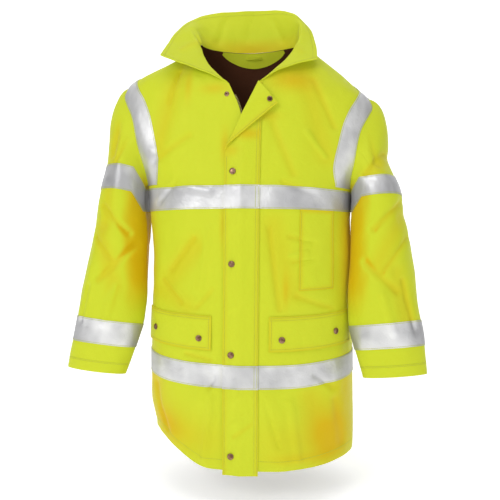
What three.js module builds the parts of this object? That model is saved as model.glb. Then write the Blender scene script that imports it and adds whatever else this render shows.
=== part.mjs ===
// A hip-length hi-vis work jacket in its worn shape: open collar, storm flap, reflective tape, flapped pockets.
// Millimetres, +Z up. The origin is midway between the tops of the shoulder seams. The front faces -Y,
// so the wearer's right is -X. Every cloth piece is a thin closed wall round the hollow form.
import * as THREE from "three";

// Driving sizes
const WALL = 2;
const SEAM_GAP = 0.4;
const LIE_GAP = 0.4;
const TAPE_THICK = 1;
const TAPE_WIDTH = 50;
const FRONT_EDGE = 2.5;
const DEG = Math.PI / 180;

// Body sections: half-width at the side seam, depth before and behind it, and how square the outline is
const SECTIONS = [
  { z: -960, half: 235, front: 166, back: 141, square: 2.5 },
  { z: -934, half: 236, front: 165, back: 140, square: 2.5 },
  { z: -850, half: 236, front: 163, back: 136, square: 2.5 },
  { z: -744, half: 234, front: 162, back: 131, square: 2.5 },
  { z: -620, half: 232, front: 155, back: 128, square: 2.5 },
  { z: -500, half: 231, front: 148, back: 127, square: 2.5 },
  { z: -386, half: 233, front: 141, back: 128, square: 2.5 },
  { z: -325, half: 240, front: 134, back: 127, square: 2.45 },
  { z: -295, half: 260, front: 130, back: 126, square: 2.35 },
  { z: -235, half: 307, front: 119, back: 123, square: 2.2 },
  { z: -170, half: 309, front: 107, back: 117, square: 2 },
  { z: -108, half: 287, front: 95, back: 107, square: 2 },
  { z: -80, half: 242, front: 81, back: 101, square: 2 },
  { z: -40, half: 179, front: 52, back: 91, square: 2 },
  { z: -15, half: 139, front: 34, back: 82, square: 2 },
  { z: 0, half: 115, front: 26, back: 75, square: 2 },
];

// Rows of the body cloth below the armhole: height at the centre, and how much higher the side seam lies
const BODY_ROWS = [
  { z: -946, sideRise: 18 },
  { z: -912, sideRise: 18 },
  { z: -868, sideRise: 17 },
  { z: -819, sideRise: 15 },
  { z: -769, sideRise: 14 },
  { z: -719, sideRise: 13 },
  { z: -690, sideRise: 12 },
  { z: -653, sideRise: 11 },
  { z: -616, sideRise: 10 },
  { z: -590, sideRise: 8 },
  { z: -562, sideRise: 6 },
  { z: -518, sideRise: 3 },
  { z: -474, sideRise: 0 },
  { z: -430, sideRise: -3 },
  { z: -386, sideRise: -6 },
  { z: -336, sideRise: -6 },
  { z: -325, sideRise: -8 },
];
const HEM_ROW = 0;
const WAIST_TAPE_ROW = 4;
const POCKET_FLAP_ROW = 6;
const POCKET_FLAP_TOP_ROW = 8;
const POCKET_FLAP_STAND = 2;
const POCKET_THICK = 1.6;
const CHEST_POCKET_ROW = 10;
const CHEST_TAPE_ROW = 14;
const ARMHOLE_ROW = BODY_ROWS.length - 1;
const YOKE_ROWS = 9;
const YOKE_LINE_STEPS = 60;
const NECK_BOW = 1.25;

// Columns of the cloth, as angles round the body from the centre line to the side seam
const FRONT_LAYOUT = {
  angles: [0.2, 6.4, 11, 19, 27.4, 36, 45, 53, 59.5, 66.5, 73, 79, 84.5, 90],
  tapeColumn: 7,
  armholeColumn: 10,
  neckColumn: 4,
};
const BACK_LAYOUT = {
  angles: [0, 9, 18, 27, 36, 45, 53, 59.5, 66.5, 73, 79, 84.5, 90],
  tapeColumn: 6,
  armholeColumn: 9,
  neckColumn: 4,
};
const FRONT_FLAP_COLUMN = 1;
const FRONT_POCKET_COLUMN = 2;
const CHEST_POCKET_COLUMN = 4;

// Armhole edges as angles round the body, from underarm to shoulder tip
const SHOULDER_TIP_Z = -108;
const ARMHOLE = {
  front: [
    { z: -325, angle: 73 },
    { z: -295, angle: 62 },
    { z: -235, angle: 53 },
    { z: -170, angle: 62 },
    { z: SHOULDER_TIP_Z, angle: 90 },
  ],
  back: [
    { z: -325, angle: 74 },
    { z: -295, angle: 66 },
    { z: -235, angle: 60 },
    { z: -170, angle: 67 },
    { z: SHOULDER_TIP_Z, angle: 90 },
  ],
};

// Neckline edges from the centre line to the top of the shoulder seam
const NECKLINE = {
  front: [
    { z: -112, angle: 6.5 },
    { z: -80, angle: 16.8 },
    { z: -40, angle: 34 },
    { z: -15, angle: 54.4 },
    { z: 0, angle: 90 },
  ],
  back: [
    { z: -6, angle: 0 },
    { z: -5, angle: 30 },
    { z: -3, angle: 60 },
    { z: 0, angle: 90 },
  ],
};

// Centre front edge of the yoke, opening above the closed end of the zip
const ZIP_TOP_Z = -199;
const FRONT_OPENING = [
  { z: -325, x: FRONT_EDGE },
  { z: ZIP_TOP_Z, x: FRONT_EDGE },
  { z: -165, x: 9 },
  { z: -112, x: 33 },
];

// Sleeve sections below the cap: centre, half-width across, half-depth, and the outer side's rise
const SLEEVE_SECTIONS = [
  { z: -318, x: 282, y: -12, across: 54, deep: 92, rise: 0.12 },
  { z: -366, x: 289, y: -20, across: 58, deep: 88, rise: 0.12 },
  { z: -420, x: 294, y: -29, across: 62, deep: 80, rise: 0.12 },
  { z: -470, x: 297, y: -39, across: 66, deep: 73, rise: 0.12 },
  { z: -520, x: 300, y: -51, across: 70, deep: 66, rise: 0.12 },
  { z: -570, x: 303, y: -63, across: 74, deep: 59, rise: 0.12 },
  { z: -610, x: 306, y: -73, across: 76, deep: 54, rise: 0.12 },
  { z: -634, x: 309, y: -79, across: 77, deep: 50, rise: 0.11 },
  { z: -684, x: 319, y: -90, across: 74, deep: 43, rise: 0.1 },
  { z: -712, x: 325, y: -96, across: 71, deep: 40, rise: 0.1 },
  { z: -741, x: 331, y: -101, across: 68, deep: 37, rise: 0.1 },
];
const SLEEVE_LENGTH = SLEEVE_SECTIONS[0].z - SLEEVE_SECTIONS[SLEEVE_SECTIONS.length - 1].z;
const CAP_STEPS = [0.22, 0.5, 0.78];
const CAP_PULL = 0.9;
const CAP_LEAST_REACH = 16;
const SLEEVE_LEAN = 0.14;
// How far each sleeve hangs higher at its upper end, lower at its cuff, and further out there
const SLEEVE_HANG = {
  right: { upper: 14, cuff: -13, out: 9 },
  left: { upper: 8, cuff: -3, out: -3 },
};
const UPPER_TAPE_RING = CAP_STEPS.length + 1;
const CUFF_TAPE_RING = UPPER_TAPE_RING + 7;
const SLEEVE_CLEAR = 9;
const UNDERARM_DROP = 9;

// The collar's free edge from the wearer's right point round the back to the left point
const COLLAR_EDGE = [
  { x: -196, y: -64, z: -43 },
  { x: -194, y: -30, z: -17 },
  { x: -190, y: 2, z: 9 },
  { x: -183, y: 30, z: 35 },
  { x: -169, y: 54, z: 60 },
  { x: -142, y: 76, z: 84 },
  { x: -101, y: 90, z: 97 },
  { x: -46, y: 96, z: 101 },
  { x: 11, y: 97, z: 101 },
  { x: 57, y: 91, z: 98 },
  { x: 95, y: 74, z: 84 },
  { x: 119, y: 52, z: 61 },
  { x: 138, y: 28, z: 36 },
  { x: 148, y: 2, z: 10 },
  { x: 155, y: -28, z: -17 },
  { x: 158, y: -62, z: -48 },
];
const COLLAR_STEPS = [0, 0.07, 0.2, 0.36, 0.52, 0.68, 0.84, 1];
const COLLAR_STAND = { front: 8, shoulder: 24, forward: 14, bendAt: 0.42, backShare: 0.6 };

// Storm flap: edges across the front, and the fold line of its turned-back top corner
const FLAP = {
  sewnX: 40,
  freeX: -36,
  bottomZ: -955,
  topZ: -110,
  foldLowZ: -252,
  foldTopX: 30,
  rollRadius: 2.2,
  sewnLift: 0.7,
  lift: 2,
  easeWidth: 26,
  zipLift: 3.2,
  zipHalfWidth: 13,
  plainColumns: 4,
  rollColumns: 4,
  turnedColumns: 3,
  foldStep: 11,
};

// Strips of the zip behind the front edges, its slider under the flap, and the loop at the back of the neck
const ZIP_STRIP = { aboveHem: 0.1, columns: 0.28 };
const SLIDER = { z: -206, width: 8, depth: 2.6, height: 13 };
const LOOP = { halfWidth: 19, height: 5, z: -22, bow: 5, clear: 1.7, thick: 1.2 };

// Folds pressed into the cloth: the piece, its side, the line in the front view, half-width and depth
const FOLDS = [
  { piece: "front_right", from: [-150, -60], to: [-196, -250], width: 22, depth: -5 },
  { piece: "front_right", from: [-100, -470], to: [-165, -540], width: 24, depth: -5 },
  { piece: "front_right", from: [-190, -570], to: [-120, -598], width: 20, depth: -4 },
  { piece: "front_right", from: [-90, -800], to: [-150, -905], width: 30, depth: 5 },
  { piece: "front_left", from: [130, -70], to: [178, -260], width: 24, depth: -4 },
  { piece: "front_left", from: [70, -420], to: [110, -560], width: 26, depth: -4 },
  { piece: "front_left", from: [60, -800], to: [95, -925], width: 28, depth: 6 },
  { piece: "front_left", from: [150, -790], to: [185, -900], width: 26, depth: -5 },
  { piece: "back_panel", from: [-170, -140], to: [-120, -330], width: 28, depth: -5 },
  { piece: "back_panel", from: [165, -150], to: [125, -320], width: 30, depth: -6 },
  { piece: "back_panel", from: [-60, -520], to: [-150, -600], width: 30, depth: -5 },
  { piece: "back_panel", from: [70, -600], to: [160, -500], width: 28, depth: -5 },
  { piece: "back_panel", from: [-110, -790], to: [-90, -930], width: 34, depth: 6 },
  { piece: "back_panel", from: [120, -800], to: [95, -930], width: 32, depth: 6 },
  { piece: "sleeve_right", from: [-300, -190], to: [-318, -420], width: 18, depth: -5 },
  { piece: "sleeve_right", from: [-335, -430], to: [-290, -560], width: 20, depth: -5 },
  { piece: "sleeve_right", from: [-350, -520], to: [-365, -625], width: 16, depth: 4 },
  { piece: "sleeve_left", from: [330, -250], to: [275, -300], width: 18, depth: -5 },
  { piece: "sleeve_left", from: [345, -400], to: [290, -500], width: 20, depth: -5 },
  { piece: "sleeve_left", from: [330, -520], to: [352, -625], width: 18, depth: -4 },
];

// How the jacket sits: shoulder heights, the body turned a little, and the hem drawn up at one side
const SIT = {
  shoulder: { low: -420, high: -200, right: 12, left: -29, inward: 16 },
  body: { low: -500, high: -400, frontY: -150, sideY: -10, shift: 6 },
  hem: { low: -946, high: -850, innerX: 150, outerX: 236, rise: 30, inward: 8 },
};

// Press studs: radius and height of the cap
const STUD = { radius: 7, height: 2.6 };
const STUD_CLEAR = 1.3;
const POCKET_STUD_CLEAR = 0.7;
const FLAP_STUD_X = -18;
const FLAP_STUDS = [-914, -697, -504, -307];
const CORNER_STUD = { x: 55, z: -152, radius: 6 };
const NECK_STUD = { x: -37, z: -136, radius: 5.5 };
const POCKET_STUDS = [
  { name: "inner", x: 89, z: -664 },
  { name: "outer", x: 198, z: -650 },
];

const CLOTH_YELLOW = 0xd4dc3a;
const TAPE_SILVER = 0xc9ccd0;
const LINING_BROWN = 0x3d2218;
const STUD_BRASS = 0x8a5f3c;
const ZIP_BROWN = 0x4a3a28;

const jacket = new THREE.Group();
jacket.name = "work_jacket";

const SIDES = [
  { name: "right", sign: -1 },
  { name: "left", sign: 1 },
];

function vec(x, y, z) {
  return new THREE.Vector3(x, y, z);
}

function blend(a, b, t) {
  return a + (b - a) * t;
}

// Value of one column of a table at a given key, on a smooth curve through its rows
function tableValue(table, key, column, at) {
  const rising = table[table.length - 1][key] > table[0][key];
  const rows = rising ? table : [...table].reverse();
  const last = rows.length - 1;
  if (at <= rows[0][key]) return rows[0][column];
  if (at >= rows[last][key]) return rows[last][column];
  let i = 0;
  while (rows[i + 1][key] < at) i += 1;
  const slope = (k) => {
    const lo = Math.max(0, k - 1);
    const hi = Math.min(last, k + 1);
    return (rows[hi][column] - rows[lo][column]) / (rows[hi][key] - rows[lo][key]);
  };
  const span = rows[i + 1][key] - rows[i][key];
  const t = (at - rows[i][key]) / span;
  const ease = t * t * (3 - 2 * t);
  const start = (t ** 3 - 2 * t ** 2 + t) * span * slope(i);
  const end = (t ** 3 - t ** 2) * span * slope(i + 1);
  return blend(rows[i][column], rows[i + 1][column], ease) + start + end;
}

// The shoulder ridge is straight, so its sections follow straight lines above the shoulder tip
function section(z) {
  const value = (column) => tableValue(SECTIONS, "z", column, z);
  const ridge = blend(115, 287, z / SHOULDER_TIP_Z);
  return {
    half: z > SHOULDER_TIP_Z ? ridge : value("half"),
    front: value("front"),
    back: value("back"),
    power: 2 / value("square"),
  };
}

// A point of the body form at an angle from the centre line
function bodyPoint(face, angle, z) {
  const s = section(z);
  const a = Math.min(Math.max(angle, 0), 90) * DEG;
  const depth = face === "front" ? -s.front : s.back;
  return vec(s.half * Math.sin(a) ** s.power, depth * Math.max(Math.cos(a), 0) ** s.power, z);
}

// The angle at which the body form has a given half-width
function angleAt(x, z) {
  const s = section(z);
  return Math.asin((x / s.half) ** (1 / s.power)) / DEG;
}

// Lengths along a line of points
function runningLengths(points) {
  const lengths = [0];
  for (let i = 1; i < points.length; i += 1) {
    lengths.push(lengths[i - 1] + points[i].distanceTo(points[i - 1]));
  }
  return lengths;
}

// The point at a given length along a line of points
function pointAtLength(points, lengths, at) {
  let i = 0;
  while (i < points.length - 2 && lengths[i + 1] < at) i += 1;
  const t = (at - lengths[i]) / (lengths[i + 1] - lengths[i]);
  return points[i].clone().lerp(points[i + 1], THREE.MathUtils.clamp(t, 0, 1));
}

// One row of the yoke as a fine line of points from the centre edge to the armhole
function yokeLine(face, v) {
  const neck = NECKLINE[face];
  const edge = ARMHOLE[face];
  const centreTop = neck[0].z;
  const zLeft = blend(BODY_ROWS[ARMHOLE_ROW].z, centreTop, v);
  const zRight = blend(edge[0].z, SHOULDER_TIP_Z, v);
  const opening = Math.max(FRONT_EDGE, tableValue(FRONT_OPENING, "z", "x", zLeft));
  const angleLeft = face === "front" ? angleAt(opening, zLeft) : 0;
  const angleRight = tableValue(edge, "z", "angle", zRight);
  const weight = v ** 3;
  const line = [];
  for (let k = 0; k <= YOKE_LINE_STEPS; k += 1) {
    const t = k / YOKE_LINE_STEPS;
    const neckT = Math.min(2 * t, 1);
    const zNeck = centreTop * (1 - neckT) ** NECK_BOW;
    const zTop = t < 0.5 ? zNeck : SHOULDER_TIP_Z * (2 * t - 1);
    const roundNeck = face === "back" ? 90 * neckT : tableValue(neck, "z", "angle", zNeck);
    const angleTop = t < 0.5 ? roundNeck : 90;
    const share = (angleTop - neck[0].angle) / (90 - neck[0].angle);
    const spread = blend(t, share, weight);
    const angle = blend(angleLeft, angleRight, spread);
    const zStraight = blend(zLeft, zRight, t);
    const z = zStraight + v * (zTop - blend(centreTop, SHOULDER_TIP_Z, t));
    line.push(bodyPoint(face, angle, z));
  }
  return line;
}

// Body rows below the armhole, for the wearer's left half
function bodyRow(face, layout, row) {
  return layout.angles.map((angle) => {
    const z = row.z + row.sideRise * Math.sin(angle * DEG) ** 2;
    return bodyPoint(face, angle, z);
  });
}

// Yoke rows: the tape columns keep their distance from the armhole, the others share the rest of the row
function yokeRow(face, layout, v, base) {
  const line = yokeLine(face, v);
  const lengths = runningLengths(line);
  const total = lengths[lengths.length - 1];
  const { tapeColumn, armholeColumn, neckColumn } = layout;
  const baseLengths = runningLengths(base);
  const openWidth = total - TAPE_WIDTH;
  const neckLength = lengths[lengths.length >> 1] / openWidth;
  return base.map((point, j) => {
    if (j >= armholeColumn) return line[line.length - 1].clone();
    if (j >= tapeColumn) {
      const step = TAPE_WIDTH / (armholeColumn - tapeColumn);
      return pointAtLength(line, lengths, total - (armholeColumn - j) * step);
    }
    const low = baseLengths[j] / baseLengths[tapeColumn];
    const onNeck = neckLength * (j / neckColumn);
    const onShoulder = blend(neckLength, 1, (j - neckColumn) / (tapeColumn - neckColumn));
    const high = j <= neckColumn ? onNeck : onShoulder;
    return pointAtLength(line, lengths, openWidth * blend(low, high, v * v));
  });
}

// Points of the left half of the front or back, moved off the seam plane by half a seam gap
function halfBody(face, layout) {
  const rows = BODY_ROWS.map((row) => bodyRow(face, layout, row));
  const base = rows[ARMHOLE_ROW];
  for (let i = 1; i <= YOKE_ROWS; i += 1) rows.push(yokeRow(face, layout, i / YOKE_ROWS, base));
  const shift = face === "front" ? -SEAM_GAP / 2 : SEAM_GAP / 2;
  rows.forEach((row) => row.forEach((p) => p.setY(p.y + shift)));
  return rows;
}

function mirrored(rows) {
  return rows.map((row) => row.map((p) => vec(-p.x, p.y, p.z)));
}

// Unit normals of a grid of points, pointing to the side given by hand
function gridNormals(points, { hand = 1, wraps = false, has = () => true } = {}) {
  const count = points[0].length;
  return points.map((row, i) =>
    row.map((point, j) => {
      const side = (step) => {
        const k = wraps ? (j + step + count) % count : j + step;
        return k >= 0 && k < count && has(i, k) ? points[i][k] : point;
      };
      const up = (step) => {
        const k = i + step;
        return k >= 0 && k < points.length && has(k, j) ? points[k][j] : point;
      };
      const across = side(1).clone().sub(side(-1));
      const along = up(1).clone().sub(up(-1));
      return across.cross(along).normalize().multiplyScalar(hand);
    }),
  );
}

function moved(points, normals, distance) {
  return points.map((row, i) =>
    row.map((p, j) => p.clone().addScaledVector(normals[i][j], distance)),
  );
}

// Depth of the pressed folds of a piece at a point
function foldDepth(piece, point) {
  let depth = 0;
  for (const fold of FOLDS.filter((f) => f.piece === piece)) {
    const [x0, z0] = fold.from;
    const [x1, z1] = fold.to;
    const length = Math.hypot(x1 - x0, z1 - z0);
    const along = ((point.x - x0) * (x1 - x0) + (point.z - z0) * (z1 - z0)) / length;
    const off = ((point.x - x0) * (z1 - z0) - (point.z - z0) * (x1 - x0)) / length;
    const past = Math.max(-along, along - length, 0);
    depth += fold.depth * Math.exp(-((off / fold.width) ** 2) - (past / fold.width) ** 2);
  }
  return depth;
}

// A closed wall between two grids of points, with a rim wherever a cell has no neighbour
function wall(outer, inner, { wraps = false, cell = () => true, turned = () => false } = {}) {
  const rows = outer.length;
  const count = outer[0].length;
  const columns = wraps ? count : count - 1;
  const positions = [...outer.flat(), ...inner.flat()].flatMap((p) => [p.x, p.y, p.z]);
  const index = [];
  const has = (i, j) => {
    const k = wraps ? (j + columns) % columns : j;
    return i >= 0 && i < rows - 1 && k >= 0 && k < columns && cell(i, k);
  };
  const quad = (a, b, c, d) => index.push(a, b, c, a, c, d);
  const face = (i, a, b, c, d) => (turned(i) ? quad(b, c, d, a) : quad(a, b, c, d));
  const out = (i, j) => i * count + (j % count);
  const into = (i, j) => out(i, j) + rows * count;
  for (let i = 0; i < rows - 1; i += 1) {
    for (let j = 0; j < columns; j += 1) {
      if (!has(i, j)) continue;
      face(i, out(i, j), out(i, j + 1), out(i + 1, j + 1), out(i + 1, j));
      face(i, into(i, j), into(i + 1, j), into(i + 1, j + 1), into(i, j + 1));
      if (!has(i - 1, j)) quad(into(i, j), into(i, j + 1), out(i, j + 1), out(i, j));
      if (!has(i + 1, j)) quad(out(i + 1, j), out(i + 1, j + 1), into(i + 1, j + 1), into(i + 1, j));
      if (!has(i, j - 1)) quad(into(i, j), out(i, j), out(i + 1, j), into(i + 1, j));
      if (!has(i, j + 1)) quad(out(i, j + 1), into(i, j + 1), into(i + 1, j + 1), out(i + 1, j + 1));
    }
  }
  const geometry = new THREE.BufferGeometry();
  geometry.setAttribute("position", new THREE.Float32BufferAttribute(positions, 3));
  geometry.setIndex(index);
  return facingOut(geometry);
}

// Turns a closed geometry's faces round if they point in
function facingOut(geometry) {
  const position = geometry.getAttribute("position");
  const index = geometry.getIndex();
  const corner = (k) => new THREE.Vector3().fromBufferAttribute(position, index.getX(k));
  let volume = 0;
  for (let k = 0; k < index.count; k += 3) volume += corner(k).dot(corner(k + 1).cross(corner(k + 2)));
  if (volume < 0) {
    const turned = [];
    for (let k = 0; k < index.count; k += 3) turned.push(index.getX(k), index.getX(k + 2), index.getX(k + 1));
    geometry.setIndex(turned);
  }
  geometry.computeVertexNormals();
  return geometry;
}

// Moves a point of the even form to where the worn jacket has it
function settled(point, isSleeve) {
  const { smoothstep } = THREE.MathUtils;
  const { shoulder, body, hem } = SIT;
  const onShoulder = smoothstep(point.z, shoulder.low, shoulder.high);
  const atTip = smoothstep(point.z, -330, -220) * smoothstep(point.x, 200, 300);
  const outLeft = smoothstep(point.x, 60, 290);
  const outRight = smoothstep(-point.x, 150, 290);
  const place = point.clone();
  place.z += onShoulder * (shoulder.left * outLeft + shoulder.right * outRight);
  place.x -= shoulder.inward * atTip;
  if (isSleeve) return place;
  const below = smoothstep(-point.z, -body.high, -body.low);
  const toHem = smoothstep(-point.z, -hem.high, -hem.low) * smoothstep(-point.x, hem.innerX, hem.outerX);
  place.x += body.shift * below * smoothstep(point.y, body.frontY, body.sideY) + hem.inward * toHem;
  place.z += hem.rise * toHem;
  return place;
}

function addPiece(name, geometry, colour, roughness = 0.8, metalness = 0) {
  const position = geometry.getAttribute("position");
  const isSleeve = name.includes("sleeve") || name.includes("cuff");
  for (let k = 0; k < position.count; k += 1) {
    const place = settled(new THREE.Vector3().fromBufferAttribute(position, k), isSleeve);
    position.setXYZ(k, place.x, place.y, place.z);
  }
  geometry.computeVertexNormals();
  const material = new THREE.MeshStandardMaterial({ color: colour, roughness, metalness });
  const mesh = new THREE.Mesh(geometry, material);
  mesh.name = name;
  jacket.add(mesh);
}

// Part of a grid between two rows and two columns, which may lie between the grid's own
function patch(grid, rows, columns) {
  const stops = ([from, to]) => {
    const inside = [];
    for (let k = Math.floor(from) + 1; k < to; k += 1) inside.push(k);
    return [from, ...inside, to];
  };
  const sample = (i, j) => {
    const i0 = Math.min(Math.floor(i), grid.length - 2);
    const j0 = Math.min(Math.floor(j), grid[0].length - 2);
    const low = grid[i0][j0].clone().lerp(grid[i0][j0 + 1], j - j0);
    const high = grid[i0 + 1][j0].clone().lerp(grid[i0 + 1][j0 + 1], j - j0);
    return low.lerp(high, i - i0);
  };
  return stops(rows).map((i) => stops(columns).map((j) => sample(i, j)));
}

// A flat piece lying on a panel
function lyingOn(panel, rows, columns, lift, thick, options = {}) {
  const points = patch(panel.points, rows, columns);
  const normals = patch(panel.normals, rows, columns);
  return wall(moved(points, normals, lift + thick), moved(points, normals, lift), options);
}

// Front and back panels

const topRow = ARMHOLE_ROW + YOKE_ROWS;

// A body panel's points, normals and the cells that it has
function panel(name, points, layout, hand, isBack = false) {
  const middle = isBack ? layout.angles.length - 1 : 0;
  const away = (j) => Math.abs(j - middle);
  const has = (i, j) => i <= ARMHOLE_ROW || away(j) <= layout.armholeColumn;
  const cell = (i, j) => {
    const outerEdge = isBack && j < middle ? away(j) : away(j) + 1;
    return i < ARMHOLE_ROW || outerEdge <= layout.armholeColumn;
  };
  const plain = gridNormals(points, { hand, has });
  const shaped = points.map((row, i) =>
    row.map((p, j) => p.clone().addScaledVector(plain[i][j], foldDepth(name, p))),
  );
  const isOnShoulder = (i, j) => i === points.length - 1 && away(j) >= layout.neckColumn && has(i, j);
  const onSeam = (i, j) => away(j) === layout.angles.length - 1 || isOnShoulder(i, j);
  const normals = gridNormals(shaped, { hand, has });
  normals.forEach((row, i) => row.forEach((n, j) => onSeam(i, j) && n.setY(0).normalize()));
  shaped.forEach((row, i) => row.forEach((p, j) => onSeam(i, j) && p.copy(points[i][j])));
  return { name, points: shaped, normals, cell, middle };
}

const frontLeftPoints = halfBody("front", FRONT_LAYOUT);
const backLeftPoints = halfBody("back", BACK_LAYOUT);
const fronts = {
  right: panel("front_right", mirrored(frontLeftPoints), FRONT_LAYOUT, -1),
  left: panel("front_left", frontLeftPoints, FRONT_LAYOUT, 1),
};
const backPoints = backLeftPoints.map((row) => {
  const rightHalf = row.slice(1).reverse();
  return [...rightHalf.map((p) => vec(-p.x, p.y, p.z)), ...row];
});
const back = panel("back_panel", backPoints, BACK_LAYOUT, -1, true);

for (const piece of [fronts.right, fronts.left, back]) {
  const inner = moved(piece.points, piece.normals, -WALL);
  addPiece(piece.name, wall(piece.points, inner, { cell: piece.cell }), CLOTH_YELLOW);
}

// Sleeves

// The armhole's edge of one side as a closed ring: underarm, up the front, over the shoulder, down the back
function armholeRing(side) {
  const front = fronts[side.name];
  const frontArm = FRONT_LAYOUT.armholeColumn;
  const backArm = BACK_LAYOUT.armholeColumn;
  const backColumn = (away) => back.middle + side.sign * away;
  const edge = (piece, i, j, iIn, jIn) => {
    const point = piece.points[i][j];
    const outward = point.clone().sub(piece.points[iIn][jIn]).normalize();
    return { point: point.clone().addScaledVector(outward, SEAM_GAP), normal: piece.normals[i][j], outward };
  };
  const seam = (a, b) => ({
    point: a.point.clone().lerp(b.point, 0.5),
    normal: a.normal.clone().add(b.normal).normalize(),
    outward: a.outward.clone().add(b.outward).normalize(),
  });
  const run = (piece, columnAt, arm, sideColumn) => {
    const edges = [];
    for (let j = sideColumn; j > arm; j -= 1) {
      edges.push(edge(piece, ARMHOLE_ROW, columnAt(j), ARMHOLE_ROW - 1, columnAt(j)));
    }
    edges.push(edge(piece, ARMHOLE_ROW, columnAt(arm), ARMHOLE_ROW - 1, columnAt(arm - 1)));
    for (let i = ARMHOLE_ROW + 1; i <= topRow; i += 1) {
      edges.push(edge(piece, i, columnAt(arm), i, columnAt(arm - 1)));
    }
    return edges;
  };
  const up = run(front, (j) => j, frontArm, FRONT_LAYOUT.angles.length - 1);
  const down = run(back, backColumn, backArm, BACK_LAYOUT.angles.length - 1).reverse();
  const tip = seam(up[up.length - 1], down[0]);
  const underarm = seam(up[0], down[down.length - 1]);
  return [underarm, ...up.slice(1, -1), tip, ...down.slice(1, -1)];
}

// Moves a sleeve point out of the space that the body and its clearance fill
function clearOfBody(point) {
  const s = section(point.z);
  const reachX = s.half + SLEEVE_CLEAR;
  const reachY = (point.y < 0 ? s.front : s.back) + SLEEVE_CLEAR;
  const power = 2 / s.power;
  const fill = (Math.abs(point.x) / reachX) ** power + (Math.abs(point.y) / reachY) ** power;
  if (fill >= 1) return point;
  const out = fill ** (-1 / power);
  return vec(point.x * out, point.y * out, point.z);
}

// Shares of the way round a ring, from the underarm (0) to the shoulder (1) on each face
function ringShares(ring) {
  const top = ring.length / 2;
  const forward = runningLengths(ring.slice(0, top + 1).map((e) => e.point));
  const backward = runningLengths([...ring.slice(top), ring[0]].map((e) => e.point));
  const frontTotal = forward[top];
  const backTotal = backward[backward.length - 1];
  return ring.map((_, j) => (j <= top ? forward[j] / frontTotal : 1 + backward[j - top] / backTotal));
}

function sleeveSectionRing(side, entry, shares, ring, isFirst) {
  const hang = SLEEVE_HANG[side.name];
  const down = (SLEEVE_SECTIONS[0].z - entry.z) / SLEEVE_LENGTH;
  return shares.map((share, j) => {
    const turn = share * Math.PI;
    const dx = -Math.cos(turn) * entry.across;
    const dy = -Math.sin(turn) * entry.deep;
    const level = entry.z + entry.rise * dx - SLEEVE_LEAN * dy + blend(hang.upper, hang.cuff, down);
    const z = isFirst ? Math.min(level, ring[j].point.z - UNDERARM_DROP) : level;
    return clearOfBody(vec(side.sign * (entry.x + dx + hang.out * down), entry.y + dy, z));
  });
}

// A point of the sleeve cap between the armhole edge and the first full ring
function capPoint(start, goal, side, share, t) {
  const reach = Math.max(start.point.distanceTo(goal) * CAP_PULL, CAP_LEAST_REACH);
  const low = Math.sqrt(Math.max(Math.cos(share * Math.PI), 0));
  const leave = start.outward.clone().multiplyScalar(CAP_PULL / 2);
  leave.addScaledVector(start.normal, CAP_PULL * low);
  leave.addScaledVector(vec(side.sign, 0, 0), CAP_PULL * (1 - low)).normalize();
  const arrive = vec(side.sign * 0.12, -SLEEVE_LEAN, -0.98);
  const h00 = 2 * t ** 3 - 3 * t ** 2 + 1;
  const h10 = t ** 3 - 2 * t ** 2 + t;
  const h01 = 3 * t ** 2 - 2 * t ** 3;
  const h11 = t ** 3 - t ** 2;
  return vec(0, 0, 0)
    .addScaledVector(start.point, h00)
    .addScaledVector(leave, h10 * reach)
    .addScaledVector(goal, h01)
    .addScaledVector(arrive, h11 * reach);
}

function sleevePoints(side) {
  const ring = armholeRing(side);
  const shares = ringShares(ring);
  const full = SLEEVE_SECTIONS.map((entry, k) => sleeveSectionRing(side, entry, shares, ring, k === 0));
  full[1].forEach((p, j) => p.setZ(Math.min(p.z, full[0][j].z - TAPE_WIDTH)));
  const cap = CAP_STEPS.map((t) => ring.map((edge, j) => capPoint(edge, full[0][j], side, shares[j], t)));
  return { ring, rows: [ring.map((e) => e.point), ...cap, ...full] };
}

const sleeves = {};
for (const side of SIDES) {
  const name = `sleeve_${side.name}`;
  const { ring, rows } = sleevePoints(side);
  const hand = -side.sign;
  const plain = gridNormals(rows, { hand, wraps: true });
  const isFixed = (i) => i < 2;
  const points = rows.map((row, i) =>
    row.map((p, j) => p.clone().addScaledVector(plain[i][j], isFixed(i) ? 0 : foldDepth(name, p))),
  );
  const normals = gridNormals(points, { hand, wraps: true });
  normals[0] = ring.map((edge) => edge.normal.clone());
  sleeves[side.name] = { name, points, normals };
  addPiece(name, wall(points, moved(points, normals, -WALL), { wraps: true }), CLOTH_YELLOW);
}

// Collar

// The neckline as stations from the wearer's right front edge round the back to the left one
function neckStations() {
  const station = (piece, j) => {
    const point = piece.points[topRow][j];
    const outward = point.clone().sub(piece.points[topRow - 1][j]).normalize();
    const normal = piece.normals[topRow][j].clone();
    return { point: point.clone().addScaledVector(outward, SEAM_GAP), normal };
  };
  const halfway = (a, b) => ({
    point: a.point.clone().lerp(b.point, 0.5),
    normal: a.normal.clone().add(b.normal).normalize(),
  });
  const neck = FRONT_LAYOUT.neckColumn;
  const columns = [...Array(neck + 1).keys()];
  const right = columns.map((j) => station(fronts.right, j));
  const left = columns.map((j) => station(fronts.left, j)).reverse();
  const behind = [];
  for (let j = -BACK_LAYOUT.neckColumn; j <= BACK_LAYOUT.neckColumn; j += 1) {
    behind.push(station(back, back.middle + j));
  }
  const rightTop = halfway(right[neck], behind[0]);
  const leftTop = halfway(left[0], behind[behind.length - 1]);
  const coarse = [...right.slice(0, -1), rightTop, ...behind.slice(1, -1), leftTop, ...left.slice(1)];
  const fine = [coarse[0]];
  for (let k = 1; k < coarse.length; k += 1) fine.push(halfway(coarse[k - 1], coarse[k]), coarse[k]);
  return fine;
}

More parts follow.
